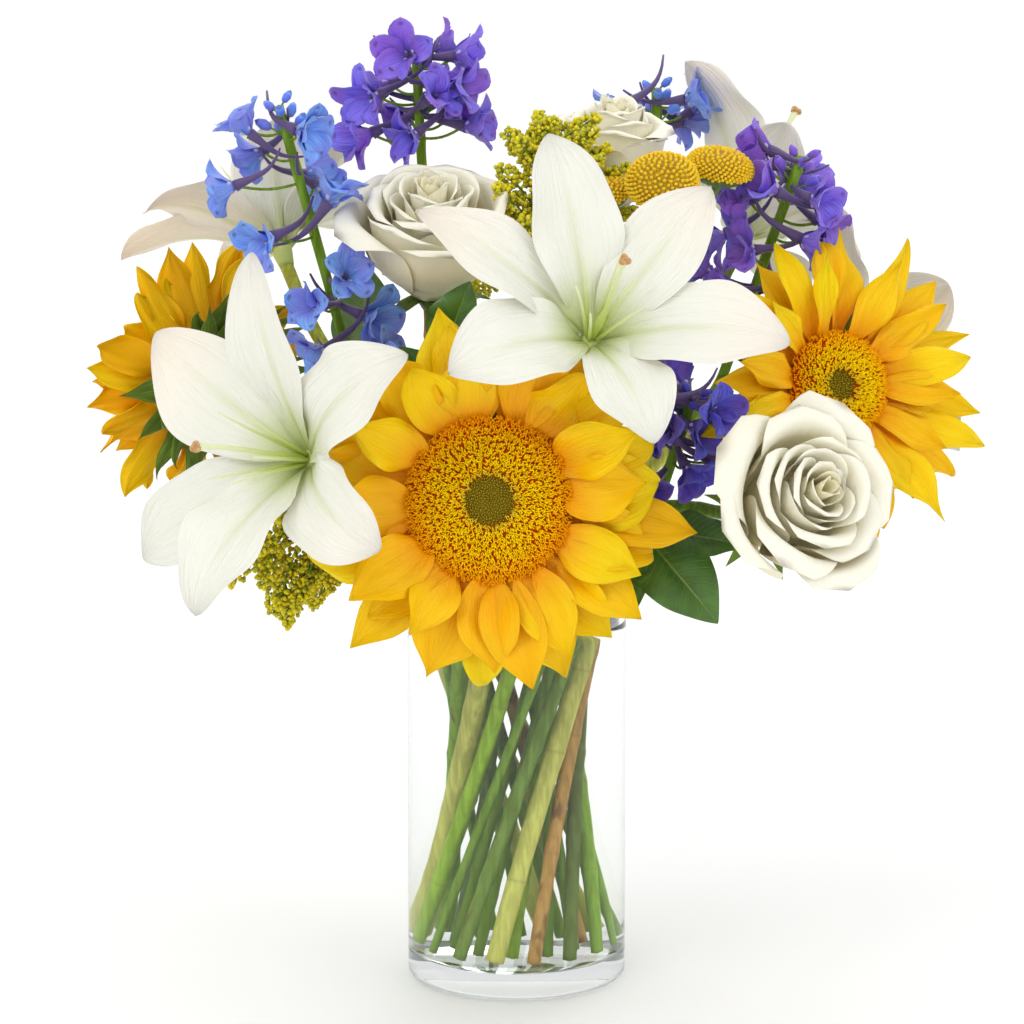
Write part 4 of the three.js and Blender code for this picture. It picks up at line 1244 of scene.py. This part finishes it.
# name, colour, base and tip of the spike over the rim, extra florets, seed,
# then each floret: height over the base, turn round the spike, length of its stalk
SPIKES = (
    ("left", "blue", (-86, -20, 129), (-107, -20, 207), 2, 31, (
        (-14, -102, 26), (-5, -67, 27), (20, -129, 30), (31, -49, 19), (43, 80, 15), (45, -156, 33),
        (56, 132, 23), (66, -58, 14), (-62, -95, 20), (-44, -60, 24), (-24, -40, 18),
        (-34, -115, 20), (-72, -55, 22), (-80, -100, 16))),
    ("top", "purple", (-44, 28, 183), (-46, 28, 225), 7, 32, (
        (2, -150, 28), (4, -20, 24), (6, 102, 24), (20, -142, 26), (18, 62, 22), (23, -35, 24),
        (36, 10, 20), (40, -100, 16))),
    ("back_right", "blue", (66, 88, 175), (66, 88, 203), 2, 33, (
        (-10, 110, 22), (8, 60, 20), (17, -137, 22), (20, -30, 18))),
    ("right", "purple", (103, 3, 104), (130, 5, 181), 5, 34, (
        (10, -125, 20), (12, -171, 24), (16, 60, 22), (31, -118, 20), (30, 160, 24), (43, -48, 19),
        (51, -157, 20), (62, -55, 19), (69, 89, 19))),
    ("low_right", "indigo", (66, -50, 39), (79, -62, 82), 5, 35, (
        (2, -120, 14), (14, -60, 14), (26, -110, 14), (34, -80, 12), (42, -150, 12))),
)
STALK_LEAN = 0.25  # how far a floret's stalk leans up the spike


def add_floret(skin, head, f, rng, size=1.0):
    """Five broad ruffled sepals round small pale petals, and a curved spur behind."""
    sepal, ruffle, spur = (v / MM * size for v in (f.sepal, f.ruffle, f.spur))
    n = 5
    add_blades(
        skin, head, tint=rng.uniform(0, 1, n), rings=9, across=9, thick=0.5,
        angle=90 + 72 * np.arange(n) + 7 * rng.normal(size=n), start=0.6, rise=-2 * size,
        opens=20 + 8 * rng.normal(size=n), turns=76 + 18 * rng.normal(size=n),
        length=sepal * (1 + 0.07 * rng.normal(size=n)), width=0.70 * sepal, belly=0.60, blunt=0.70,
        cup=0.20, ruffle=ruffle, waves=1.4, phase=rng.uniform(0, 6.3, n), crease=0.5,
        twist=20 * rng.normal(size=n), fold=0.14,
    )
    t = np.linspace(0, 1, 10)
    sway = rng.normal(0, 0.3)
    line = np.stack([
        sway * spur * t**2, spur * (0.22 * t - 0.25 * t**2 + 0.45 * t**3.5),
        -1 * size - spur * (0.95 * t - 0.06 * t**2),
    ], -1)
    radii = size * np.interp(t, (0, 0.25, 1), (2.8, 1.7, 0.45))
    add_tube(skin, carry(line, head), radii, 7, tint=1.2)
    bee = np.array([[1.1, 0.9, 1.5], [-1.1, 0.9, 1.5], [0.8, -1.1, 1.2], [-0.8, -1.1, 1.2]]) * size
    add_beads(
        skin, carry(bee * [1, 1, 0], head), unit(bee) @ head[1], 3.0 * size, 0.85 * size,
        [(0, 0), (0.3, 0.9), (0.8, 1.1), (1.0, 0)], 5, tint=2.0,
    )
    add_beads(
        skin, carry(np.zeros((1, 3)), head), head[1][2:], 3.6 * size, 0.9 * size,
        [(0, 0), (0.4, 1.0), (0.85, 0.9), (1.0, 0)], 5, tint=3.0,
    )


def build_delphiniums(s):
    """Five spikes of florets on short stalks, along the CAD stems."""
    f = s.delphinium
    green = stem_finish("delphinium_stem", shaded(s.stem.green, 0.8), s.stem.scar, 0.0)
    for side, shade, foot, tip, extra, seed, florets in SPIKES:
        name = f"delphinium_{side}"
        base, tip = over(*foot), over(*tip)
        height, along = np.linalg.norm(tip - base), unit(tip - base)
        stem = reach_tip(stem_line(name), tip, along)
        rng = np.random.default_rng(seed)
        right = unit(np.cross([0.0, 1.0, 0.0], along))
        more = [(rng.uniform(0.05, 0.95) * height, rng.uniform(-180, 180), rng.uniform(14, 21))
                for _ in range(extra)]
        bloom, stalks = Skin(), Skin()
        add_stem(stalks, stem, seed, 0.12, 10)
        for rise, turn, reach in [*florets, *more]:
            root = base + rise * along
            away = off_stem(along, turn, STALK_LEAN)
            at = root + away * (reach - 1)
            aside = 0.95 * math.copysign(1.0, math.cos(np.radians(turn))) * right
            tilt = away + aside + 0.55 * rng.normal(size=3) + np.array([0, 0, -0.35])
            add_floret(bloom, head_frame(at, tilt), f, rng, 1.0 + 0.16 * rng.random())
            t = np.linspace(0, 1, 9)[:, None]
            sag = 2.2 * np.sin(np.pi * t) * along
            add_tube(stalks, root + (at - root) * t * 0.96 - sag, 0.65, 6, along=1.0, tint=0.0)
        # Closed buds crowd the tip of the spike.
        for k in range(7):
            root = base + (height - 1 - 3.2 * k) * along
            away = off_stem(along, GOLDEN_ANGLE * k, 0.9)
            reach = 3.0 + 1.1 * k
            add_beads(
                bloom, [root + away * reach], [away], 7 + 0.5 * k, 2.0 + 0.15 * k,
                [(0, 0), (0.15, 0.7), (0.5, 1.0), (0.85, 0.6), (1.0, 0)], 8, tint=0.3,
            )
            line = root + np.linspace(0, 1, 5)[:, None] * away * (reach + 1)
            add_tube(stalks, line, 0.5, 5, along=1.0, tint=0.0)
        paint = delphinium_finish(f"delphinium_{shade}_{side}", getattr(f, shade), f.bee)
        bloom.piece(name + "_florets", paint, f"delphinium_{shade}", name)
        stalks.piece(name + "_stalks", green, "green_stem", name)


# ------------------------------------------------------------------ goldenrod

# name, seed, tip over the rim and its direction, then each spray: distance back from the tip, turn
# round the stem, length
PLUMES = (
    ("top", 41, (10, -6, 201), (0.02, -0.05, 1), (
        (72, -100, 22), (56, -60, 30), (48, 160, 16), (36, -12, 42), (24, -120, 22), (16, 60, 20),
        (40, -150, 26), (30, 90, 24), (62, 20, 24), (12, -60, 20), (20, 170, 20), (50, -30, 34),
        (44, -38, 46), (30, -42, 44), (58, -52, 40), (20, -28, 38), (36, -70, 32), (66, -100, 30),
        (52, -140, 30), (60, -20, 64), (72, -12, 60), (50, -8, 54), (80, -30, 58), (66, 10, 50))),
    ("low_left", 42, (-126, -58, 1), (-0.75, -0.1, -0.6), (
        (71, -70, 34), (52, 100, 24), (32, -80, 26), (16, 60, 20), (60, -110, 30), (44, -60, 30),
        (24, -120, 24), (40, 40, 22), (64, 0, 26), (100, 170, 44), (86, -160, 46), (70, 165, 40),
        (55, -170, 44), (40, 180, 38), (92, -130, 36), (110, -150, 40), (24, 170, 32),
        (72, 175, 60), (84, -175, 66), (62, 180, 56), (96, 178, 64), (78, -150, 58))),
    ("back", 43, (-26, 112, 133), (-0.1, 0.5, 0.86), (
        (92, 180, 36), (71, 0, 36), (50, -160, 32), (35, 30, 30), (18, 120, 22), (60, 90, 30),
        (42, -90, 28), (26, -60, 24), (80, 70, 30))),
)
TIP_SPRAY = 26  # length of the spray that ends a plume
DROOP = 0.10  # how far a spray's end hangs, as a share of its length


def build_goldenrod(s):
    """Three plumes: sprays of buds along the last part of each stem."""
    f = s.filler
    gold = bud_finish("goldenrod", f.goldenrod, f.goldenrod_green, 600.0)
    green = stem_finish("goldenrod_stem", s.stem.green, s.stem.scar, 0.0)
    for side, seed, tip, faces, sprays in PLUMES:
        name = f"goldenrod_{side}"
        stem = reach_tip(stem_line(name), over(*tip), faces)
        rng = np.random.default_rng(seed)
        buds, stalks = Skin(), Skin()
        path = add_stem(stalks, stem, seed, 0.10, 8)
        for back, turn, long in [*sprays, (TIP_SPRAY - 2, None, TIP_SPRAY + 2)]:
            here = lengths(path)[-1] - back
            root = at_length(path, here)
            along = unit(at_length(path, here + 3) - root)
            away = along if turn is None else off_stem(along, turn, 0.9)
            add_spray(buds, stalks, f, root, away, long, rng)
        buds.piece(name + "_buds", gold, "goldenrod", name)
        stalks.piece(name + "_stalks", green, "green_stem", name)


def add_spray(buds, stalks, f, root, away, long, rng):
    """A branchlet that droops at its end, thick with tiny buds on all sides.

    A bud lies off the branchlet by up to 4.6 sin(pi u^0.8) + 0.8 mm, at a random turn, and points
    away from it and forwards.
    """
    t = np.linspace(0, 1, 10)[:, None]
    line = root + away * long * t + -UP * DROOP * long * t**2
    add_tube(stalks, line, np.interp(t[:, 0], (0, 1), (0.8, 0.35)), 6, along=1.0, tint=0.0)
    n = int(5.4 * long)
    u = rng.uniform(0.10, 1.02, n)
    turn = rng.uniform(0, 2 * np.pi, n)
    side, other = across_axes(away[None])
    ring = side * np.cos(turn)[:, None] + other * np.sin(turn)[:, None]
    spread = (4.6 * np.sin(np.pi * np.clip(u, 0, 1) ** 0.8) + 0.8) * rng.uniform(0.35, 1, n) ** 0.6
    at = root + away * (long * u)[:, None] + np.array([0, 0, -DROOP * long]) * (u**2)[:, None]
    at = at + ring * spread[:, None]
    towards = ring + 0.9 * away + 0.35 * rng.normal(size=(n, 3))
    size = f.bud / MM * rng.uniform(0.75, 1.25, n)
    add_beads(
        buds, at, towards, size, size * 0.36, [(-0.1, 0), (0.25, 0.9), (0.75, 1.0), (1.0, 0)], 4,
        tint=rng.uniform(0, 1, n).reshape(-1, 1, 1),
    )


# ------------------------------------------------------------------ button blooms

# radius and the way it faces
BUTTONS = ((16.5, (-0.05, -0.62, 0.78)), (15.5, (0.15, -0.2, 0.97)), (12.0, (-0.3, -0.2, 0.93)))
BUTTON_FORK = (64, -20, 127)  # where their stem branches, with its height over the vase's rim


def build_buttons(s):
    """Domes of florets on a golden-angle spiral, over a green cup, and the branching stem."""
    f = s.filler
    yellow = bud_finish("button", f.button, (0.86, 0.50, 0.005), 900.0)
    cup = green_finish("button_cup", (0.12, 0.19, 0.05), (0.24, 0.32, 0.12))
    green = stem_finish("button_stem", (0.16, 0.24, 0.07), s.stem.scar, 0.0)
    for index, (radius, faces) in enumerate(BUTTONS):
        node = f"button_{index + 1}"
        rng = np.random.default_rng(50 + index)
        points = read_mesh(node)[0]
        faces = unit(faces)
        lowest = (points @ faces).min()
        middle = (points.max(0) + points.min(0)) / 2
        at = middle + faces * (lowest + radius * 0.5 - middle @ faces)
        head = head_frame(at, faces)
        skin = Skin()
        dome = radius * np.array([
            (0, -0.40), (0.6, -0.38), (0.94, -0.12), (0.90, 0.12), (0.66, 0.34), (0.34, 0.42),
            (0, 0.44),
        ])
        add_lathe(skin, head, dome, 24, along=0.0, tint=0.4)
        n = int(360 * (radius / 16.5) ** 1.6)
        q, turn = spiral(n)
        bend = q * np.radians(104)
        normal = np.stack([np.sin(bend) * np.cos(turn), np.sin(bend) * np.sin(turn), np.cos(bend)], -1)
        seat = normal * radius * [0.93, 0.93, 0.46] + [0, 0, -0.02 * radius]
        towards = unit(normal * [1, 1, 1.4] + 0.12 * rng.normal(size=(n, 3)))
        add_beads(
            skin, carry(seat - towards * 0.8, head), towards @ head[1], 2.4 + 0.4 * rng.random(n),
            0.68, [(0, 0), (0.2, 0.9), (0.75, 1.15), (0.97, 0.8), (0.86, 0)], 6,
            tint=rng.uniform(0.3, 1, n).reshape(-1, 1, 1),
        )
        skin.piece(node + "_florets", yellow, "button", node)
        under = Skin()
        add_lathe(
            under, head,
            [(0, -0.53 * radius), (2.2, -0.53 * radius), (0.5 * radius, -0.47 * radius),
             (0.9 * radius, -0.20 * radius), (0.86 * radius, -0.12 * radius), (0, -0.3 * radius)],
            24, along=0.3,
        )
        k = np.arange(16)
        add_blades(
            under, head, rings=7, across=5, thick=0.5, angle=360 * k / 16, start=0.45 * radius,
            rise=-0.5 * radius, opens=70, turns=30, length=0.62 * radius, width=0.34 * radius,
            belly=0.5, tint=rng.uniform(0, 1, 16),
        )
        under.piece(node + "_cup", cup, "bract", node)
    build_button_stem(green)


def build_button_stem(material):
    """The main stem up to the fork, and a bent stalk from there to the back of each bloom."""
    node = "button_stem"
    fork = over(*BUTTON_FORK)
    stem = stem_line(node)
    stem.line = stem.line[stem.line[:, 2] < fork[2] - 20]
    skin = Skin()
    add_stem(skin, reach_tip(stem, fork, (0.05, -0.02, 1)), 61, 0.15, 10)
    for index, (radius, faces) in enumerate(BUTTONS):
        faces = unit(faces)
        low, high = (np.array(v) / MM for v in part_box(f"button_{index + 1}"))
        neck = (low + high) / 2 - faces * radius * 0.55
        reach = np.linalg.norm(neck - fork)
        t = np.linspace(0, 1, 18)[:, None]
        a, b = fork + np.array([0, 0, 0.4]) * reach, neck - faces * 0.4 * reach
        curve = (1 - t) ** 3 * fork + 3 * t * (1 - t) ** 2 * a + 3 * t**2 * (1 - t) * b + t**3 * neck
        add_tube(skin, curve, np.interp(t[:, 0], (0, 0.85, 1), (1.5, 1.4, 2.2)), 10, tint=0.0)
    skin.piece(node + "_skin", material, "green_stem", node)


# ------------------------------------------------------------------ leaves

# name, seed, tip over the rim and its direction, then each leaf: distance back from the twig's tip,
# the way it grows, the way its upper face looks, length, width
TWIGS = (
    ("right", 71, (62, -62, 21), (0.7, -0.6, 0.3), (
        (25, (0.1, -0.6, -0.6), (-0.2, -0.7, 0.6), 46, 30),
        (8, (0.6, -0.35, -0.7), (0, -0.9, 0.4), 54, 34),
        (3, (0.9, -0.2, -0.1), (0.1, -0.6, 0.8), 44, 28))),
    ("left", 72, (-34, -40, 103), (-0.1, -0.1, 1), (
        (30, (-0.5, -0.4, 0.7), (0, -0.8, 0.6), 40, 22),
        (6, (0.3, -0.3, 0.8), (0, -0.9, 0.4), 38, 26))),
    ("back", 73, (-74, 90, 73), (-0.3, 0.5, 0.8), (
        (74, (-0.4, 0.8, -0.2), (0, 0.5, 0.8), 56, 36),
        (43, (0.7, 0.7, 0.1), (0, 0.6, 0.8), 56, 36), (22, (-0.9, 0.4, 0), (0, 0.6, 0.8), 50, 32),
        (3, (0, 0.4, 0.9), (0, 0.9, -0.3), 50, 32))),
)


def build_twigs(s):
    """Three twigs, whose leaves are blades turned to face the given way."""
    leaf = leaf_finish(s.filler)
    bark = stem_finish("twig_stem", shaded(s.stem.green, 0.8), s.stem.scar, 0.08)
    for side, seed, tip, faces, leaves in TWIGS:
        name = f"leafy_twig_{side}"
        stem = reach_tip(stem_line(name), over(*tip), faces)
        rng = np.random.default_rng(seed)
        stalks, skin = Skin(), Skin()
        path = add_stem(stalks, stem, seed, 0.2, 10)
        for back, grows, looks, long, wide in leaves:
            root = at_length(path, lengths(path)[-1] - back)
            along = unit(grows)
            up = np.array(looks, float)
            up = unit(up - (up @ along) * along)
            head = (root, np.stack([along, np.cross(up, along), up]))
            add_blades(
                skin, head, tint=rng.random(), rings=40, across=25, thick=0.5, angle=0, start=1.0,
                opens=80, turns=106, curl=18, length=long, width=wide, belly=0.40, blunt=0.9,
                cup=-0.10, fold=0.16, ruffle=1.3, waves=2.6, phase=rng.uniform(0, 6.3), crease=1.6,
                twist=6 * rng.normal(), sway=0.03,
            )
            t = np.linspace(0, 1, 8)
            stalk = root + along * 9 * t[:, None] - up * 0.9
            add_tube(stalks, stalk, np.interp(t, (0, 1), (1.1, 0.5)), 6, tint=0.0)
        skin.piece(name + "_leaves", leaf, "leaf", name)
        stalks.piece(name + "_stem", bark, "green_stem", name)


# ------------------------------------------------------------------ stage


MIDDLE = (0, 0, 0.28)
WHITE = (1.0, 1.0, 1.0)
# name, place, aim, size, the setting for its power and the share of it, colour
LIGHTS = (
    ("key", (-1.6, -1.9, 2.1), MIDDLE, 1.1, "key", 1.0, (1.0, 0.985, 0.96)),
    ("fill", (2.2, -1.6, 1.2), MIDDLE, 1.6, "fill", 1.0, (0.97, 0.985, 1.0)),
    ("back", (0.6, 2.2, 1.9), MIDDLE, 1.5, "fill", 1.3, WHITE),
    ("low", (-0.5, -2.4, 0.25), (0, 0, 0.3), 1.2, "fill", 0.2, (1.0, 0.99, 0.97)),
    ("backdrop", (0, 5.0, 5.0), (0, 6.0, 0), 5.0, "fill", 4.4, WHITE),
)
FLOOR_HALF = 40.0


def put(name, data, place, aim):
    """An object at a place, turned so that its -Z axis looks at the aim."""
    made = bpy.data.objects.new(name, data)
    made.location = place
    made.rotation_euler = (Vector(aim) - Vector(place)).to_track_quat("-Z", "Y").to_euler()
    bpy.context.scene.collection.objects.link(made)
    return made


def build_stage(s):
    """A wide pale floor, soft lights, a pale sky that is a little darker low down, and the camera."""
    g, h = s.stage, FLOOR_HALF
    mesh = bpy.data.meshes.new("floor")
    mesh.from_pydata([(-h, -h, 0), (h, -h, 0), (h, h, 0), (-h, h, 0)], [], [(0, 1, 2, 3)])
    f = Finish("floor", rough=0.75, specular=0.1)
    mesh.materials.append(f.paint(f.layer(g.floor, (0.8, 0.8, 0.8), f.noise(30.0, 3.0), 0.03)))
    floor = bpy.data.objects.new("floor", mesh)
    bpy.context.scene.collection.objects.link(floor)
    for name, place, aim, size, power, share_of, tone in LIGHTS:
        light = bpy.data.lights.new(name + "_light", "AREA")
        light.shape, light.size, light.color = "DISK", size, tone
        light.energy = share_of * getattr(g, power)
        put(name + "_light", light, place, aim)
    world = bpy.data.worlds.new("studio")
    world.use_nodes = True
    tree = world.node_tree
    back = tree.nodes["Background"]
    place = tree.nodes.new("ShaderNodeTexCoord")
    split = tree.nodes.new("ShaderNodeSeparateXYZ")
    ramp = tree.nodes.new("ShaderNodeValToRGB")
    tree.links.new(place.outputs["Generated"], split.inputs[0])
    tree.links.new(split.outputs["Z"], ramp.inputs[0])
    tree.links.new(ramp.outputs[0], back.inputs["Color"])
    stops = ramp.color_ramp.elements
    stops[0].position, stops[0].color = 0.0, (0.55, 0.56, 0.57, 1)
    stops[1].position, stops[1].color = 0.55, (*WHITE, 1)
    back.inputs["Strength"].default_value = g.sky
    bpy.context.scene.world = world
    camera = bpy.data.cameras.new("camera")
    camera.lens, camera.sensor_width = g.lens, 36.0
    camera.clip_start, camera.clip_end = 0.05, 200.0
    bpy.context.scene.camera = put("camera", camera, g.camera, g.aim)
    bpy.context.scene.view_settings.view_transform = "Standard"


# ------------------------------------------------------------------ operators and panel


def operator(name, label, tip, build):
    """An operator that runs one builder with the scene's settings.

    A builder that fails raises its own error.
    """

    class Builder(bpy.types.Operator):
        __doc__ = tip
        bl_idname, bl_label, bl_options = "bouquet." + name, label, {"REGISTER", "UNDO"}

        def execute(self, context):
            build(context.scene.bouquet)
            return {"FINISHED"}

    Builder.__name__ = "BOUQUET_OT_" + name
    return Builder


SETTINGS = (
    GlassSettings, StemSettings, SunflowerSettings, LilySettings, RoseSettings, DelphiniumSettings,
    FillerSettings, StageSettings, BouquetSettings,
)
OPERATORS = (
    operator("stage", "Stage", "Lay the floor and set the lights and the camera", build_stage),
    operator("vase", "Glass vase", "Build the glass vase", build_vase),
    operator("water", "Water", "Fill the vase with water", build_water),
    operator("sunflowers", "Sunflowers", "Build the sunflowers with their stems", build_sunflowers),
    operator("lilies", "Lilies", "Build the lilies with their stems", build_lilies),
    operator("roses", "Roses", "Build the roses with their stems", build_roses),
    operator("delphiniums", "Delphiniums", "Build the delphinium spikes", build_delphiniums),
    operator("goldenrod", "Goldenrod", "Build the goldenrod plumes", build_goldenrod),
    operator("buttons", "Button blooms", "Build the button blooms and their stem", build_buttons),
    operator("twigs", "Leafy twigs", "Build the leafy twigs", build_twigs),
)


class BOUQUET_PT_panel(bpy.types.Panel):
    """The bouquet's settings and the buttons that build it"""

    bl_idname, bl_label = "BOUQUET_PT_panel", "Bouquet"
    bl_space_type, bl_region_type, bl_category = "VIEW_3D", "UI", "Bouquet"

    def draw(self, context):
        settings = context.scene.bouquet
        for group in ("glass", "stem", "sunflower", "lily", "rose", "delphinium", "filler", "stage"):
            box = self.layout.box()
            box.label(text=group.capitalize())
            values = getattr(settings, group)
            for key in values.bl_rna.properties.keys():
                if key not in ("rna_type", "name"):
                    box.prop(values, key)
        for operator in OPERATORS:
            self.layout.operator(operator.bl_idname)


CLASSES = (*SETTINGS, *OPERATORS, BOUQUET_PT_panel)


def register():
    for cls in CLASSES:
        bpy.utils.register_class(cls)
    bpy.types.Scene.bouquet = PointerProperty(type=BouquetSettings)


def unregister():
    del bpy.types.Scene.bouquet
    for cls in reversed(CLASSES):
        bpy.utils.unregister_class(cls)


def main():
    """Builds every piece, then writes the CAD box and the visual model's box."""
    register()
    for operator in OPERATORS:
        group, name = operator.bl_idname.split(".")
        getattr(getattr(bpy.ops, group), name)()


if __name__ == "__main__":
    main()
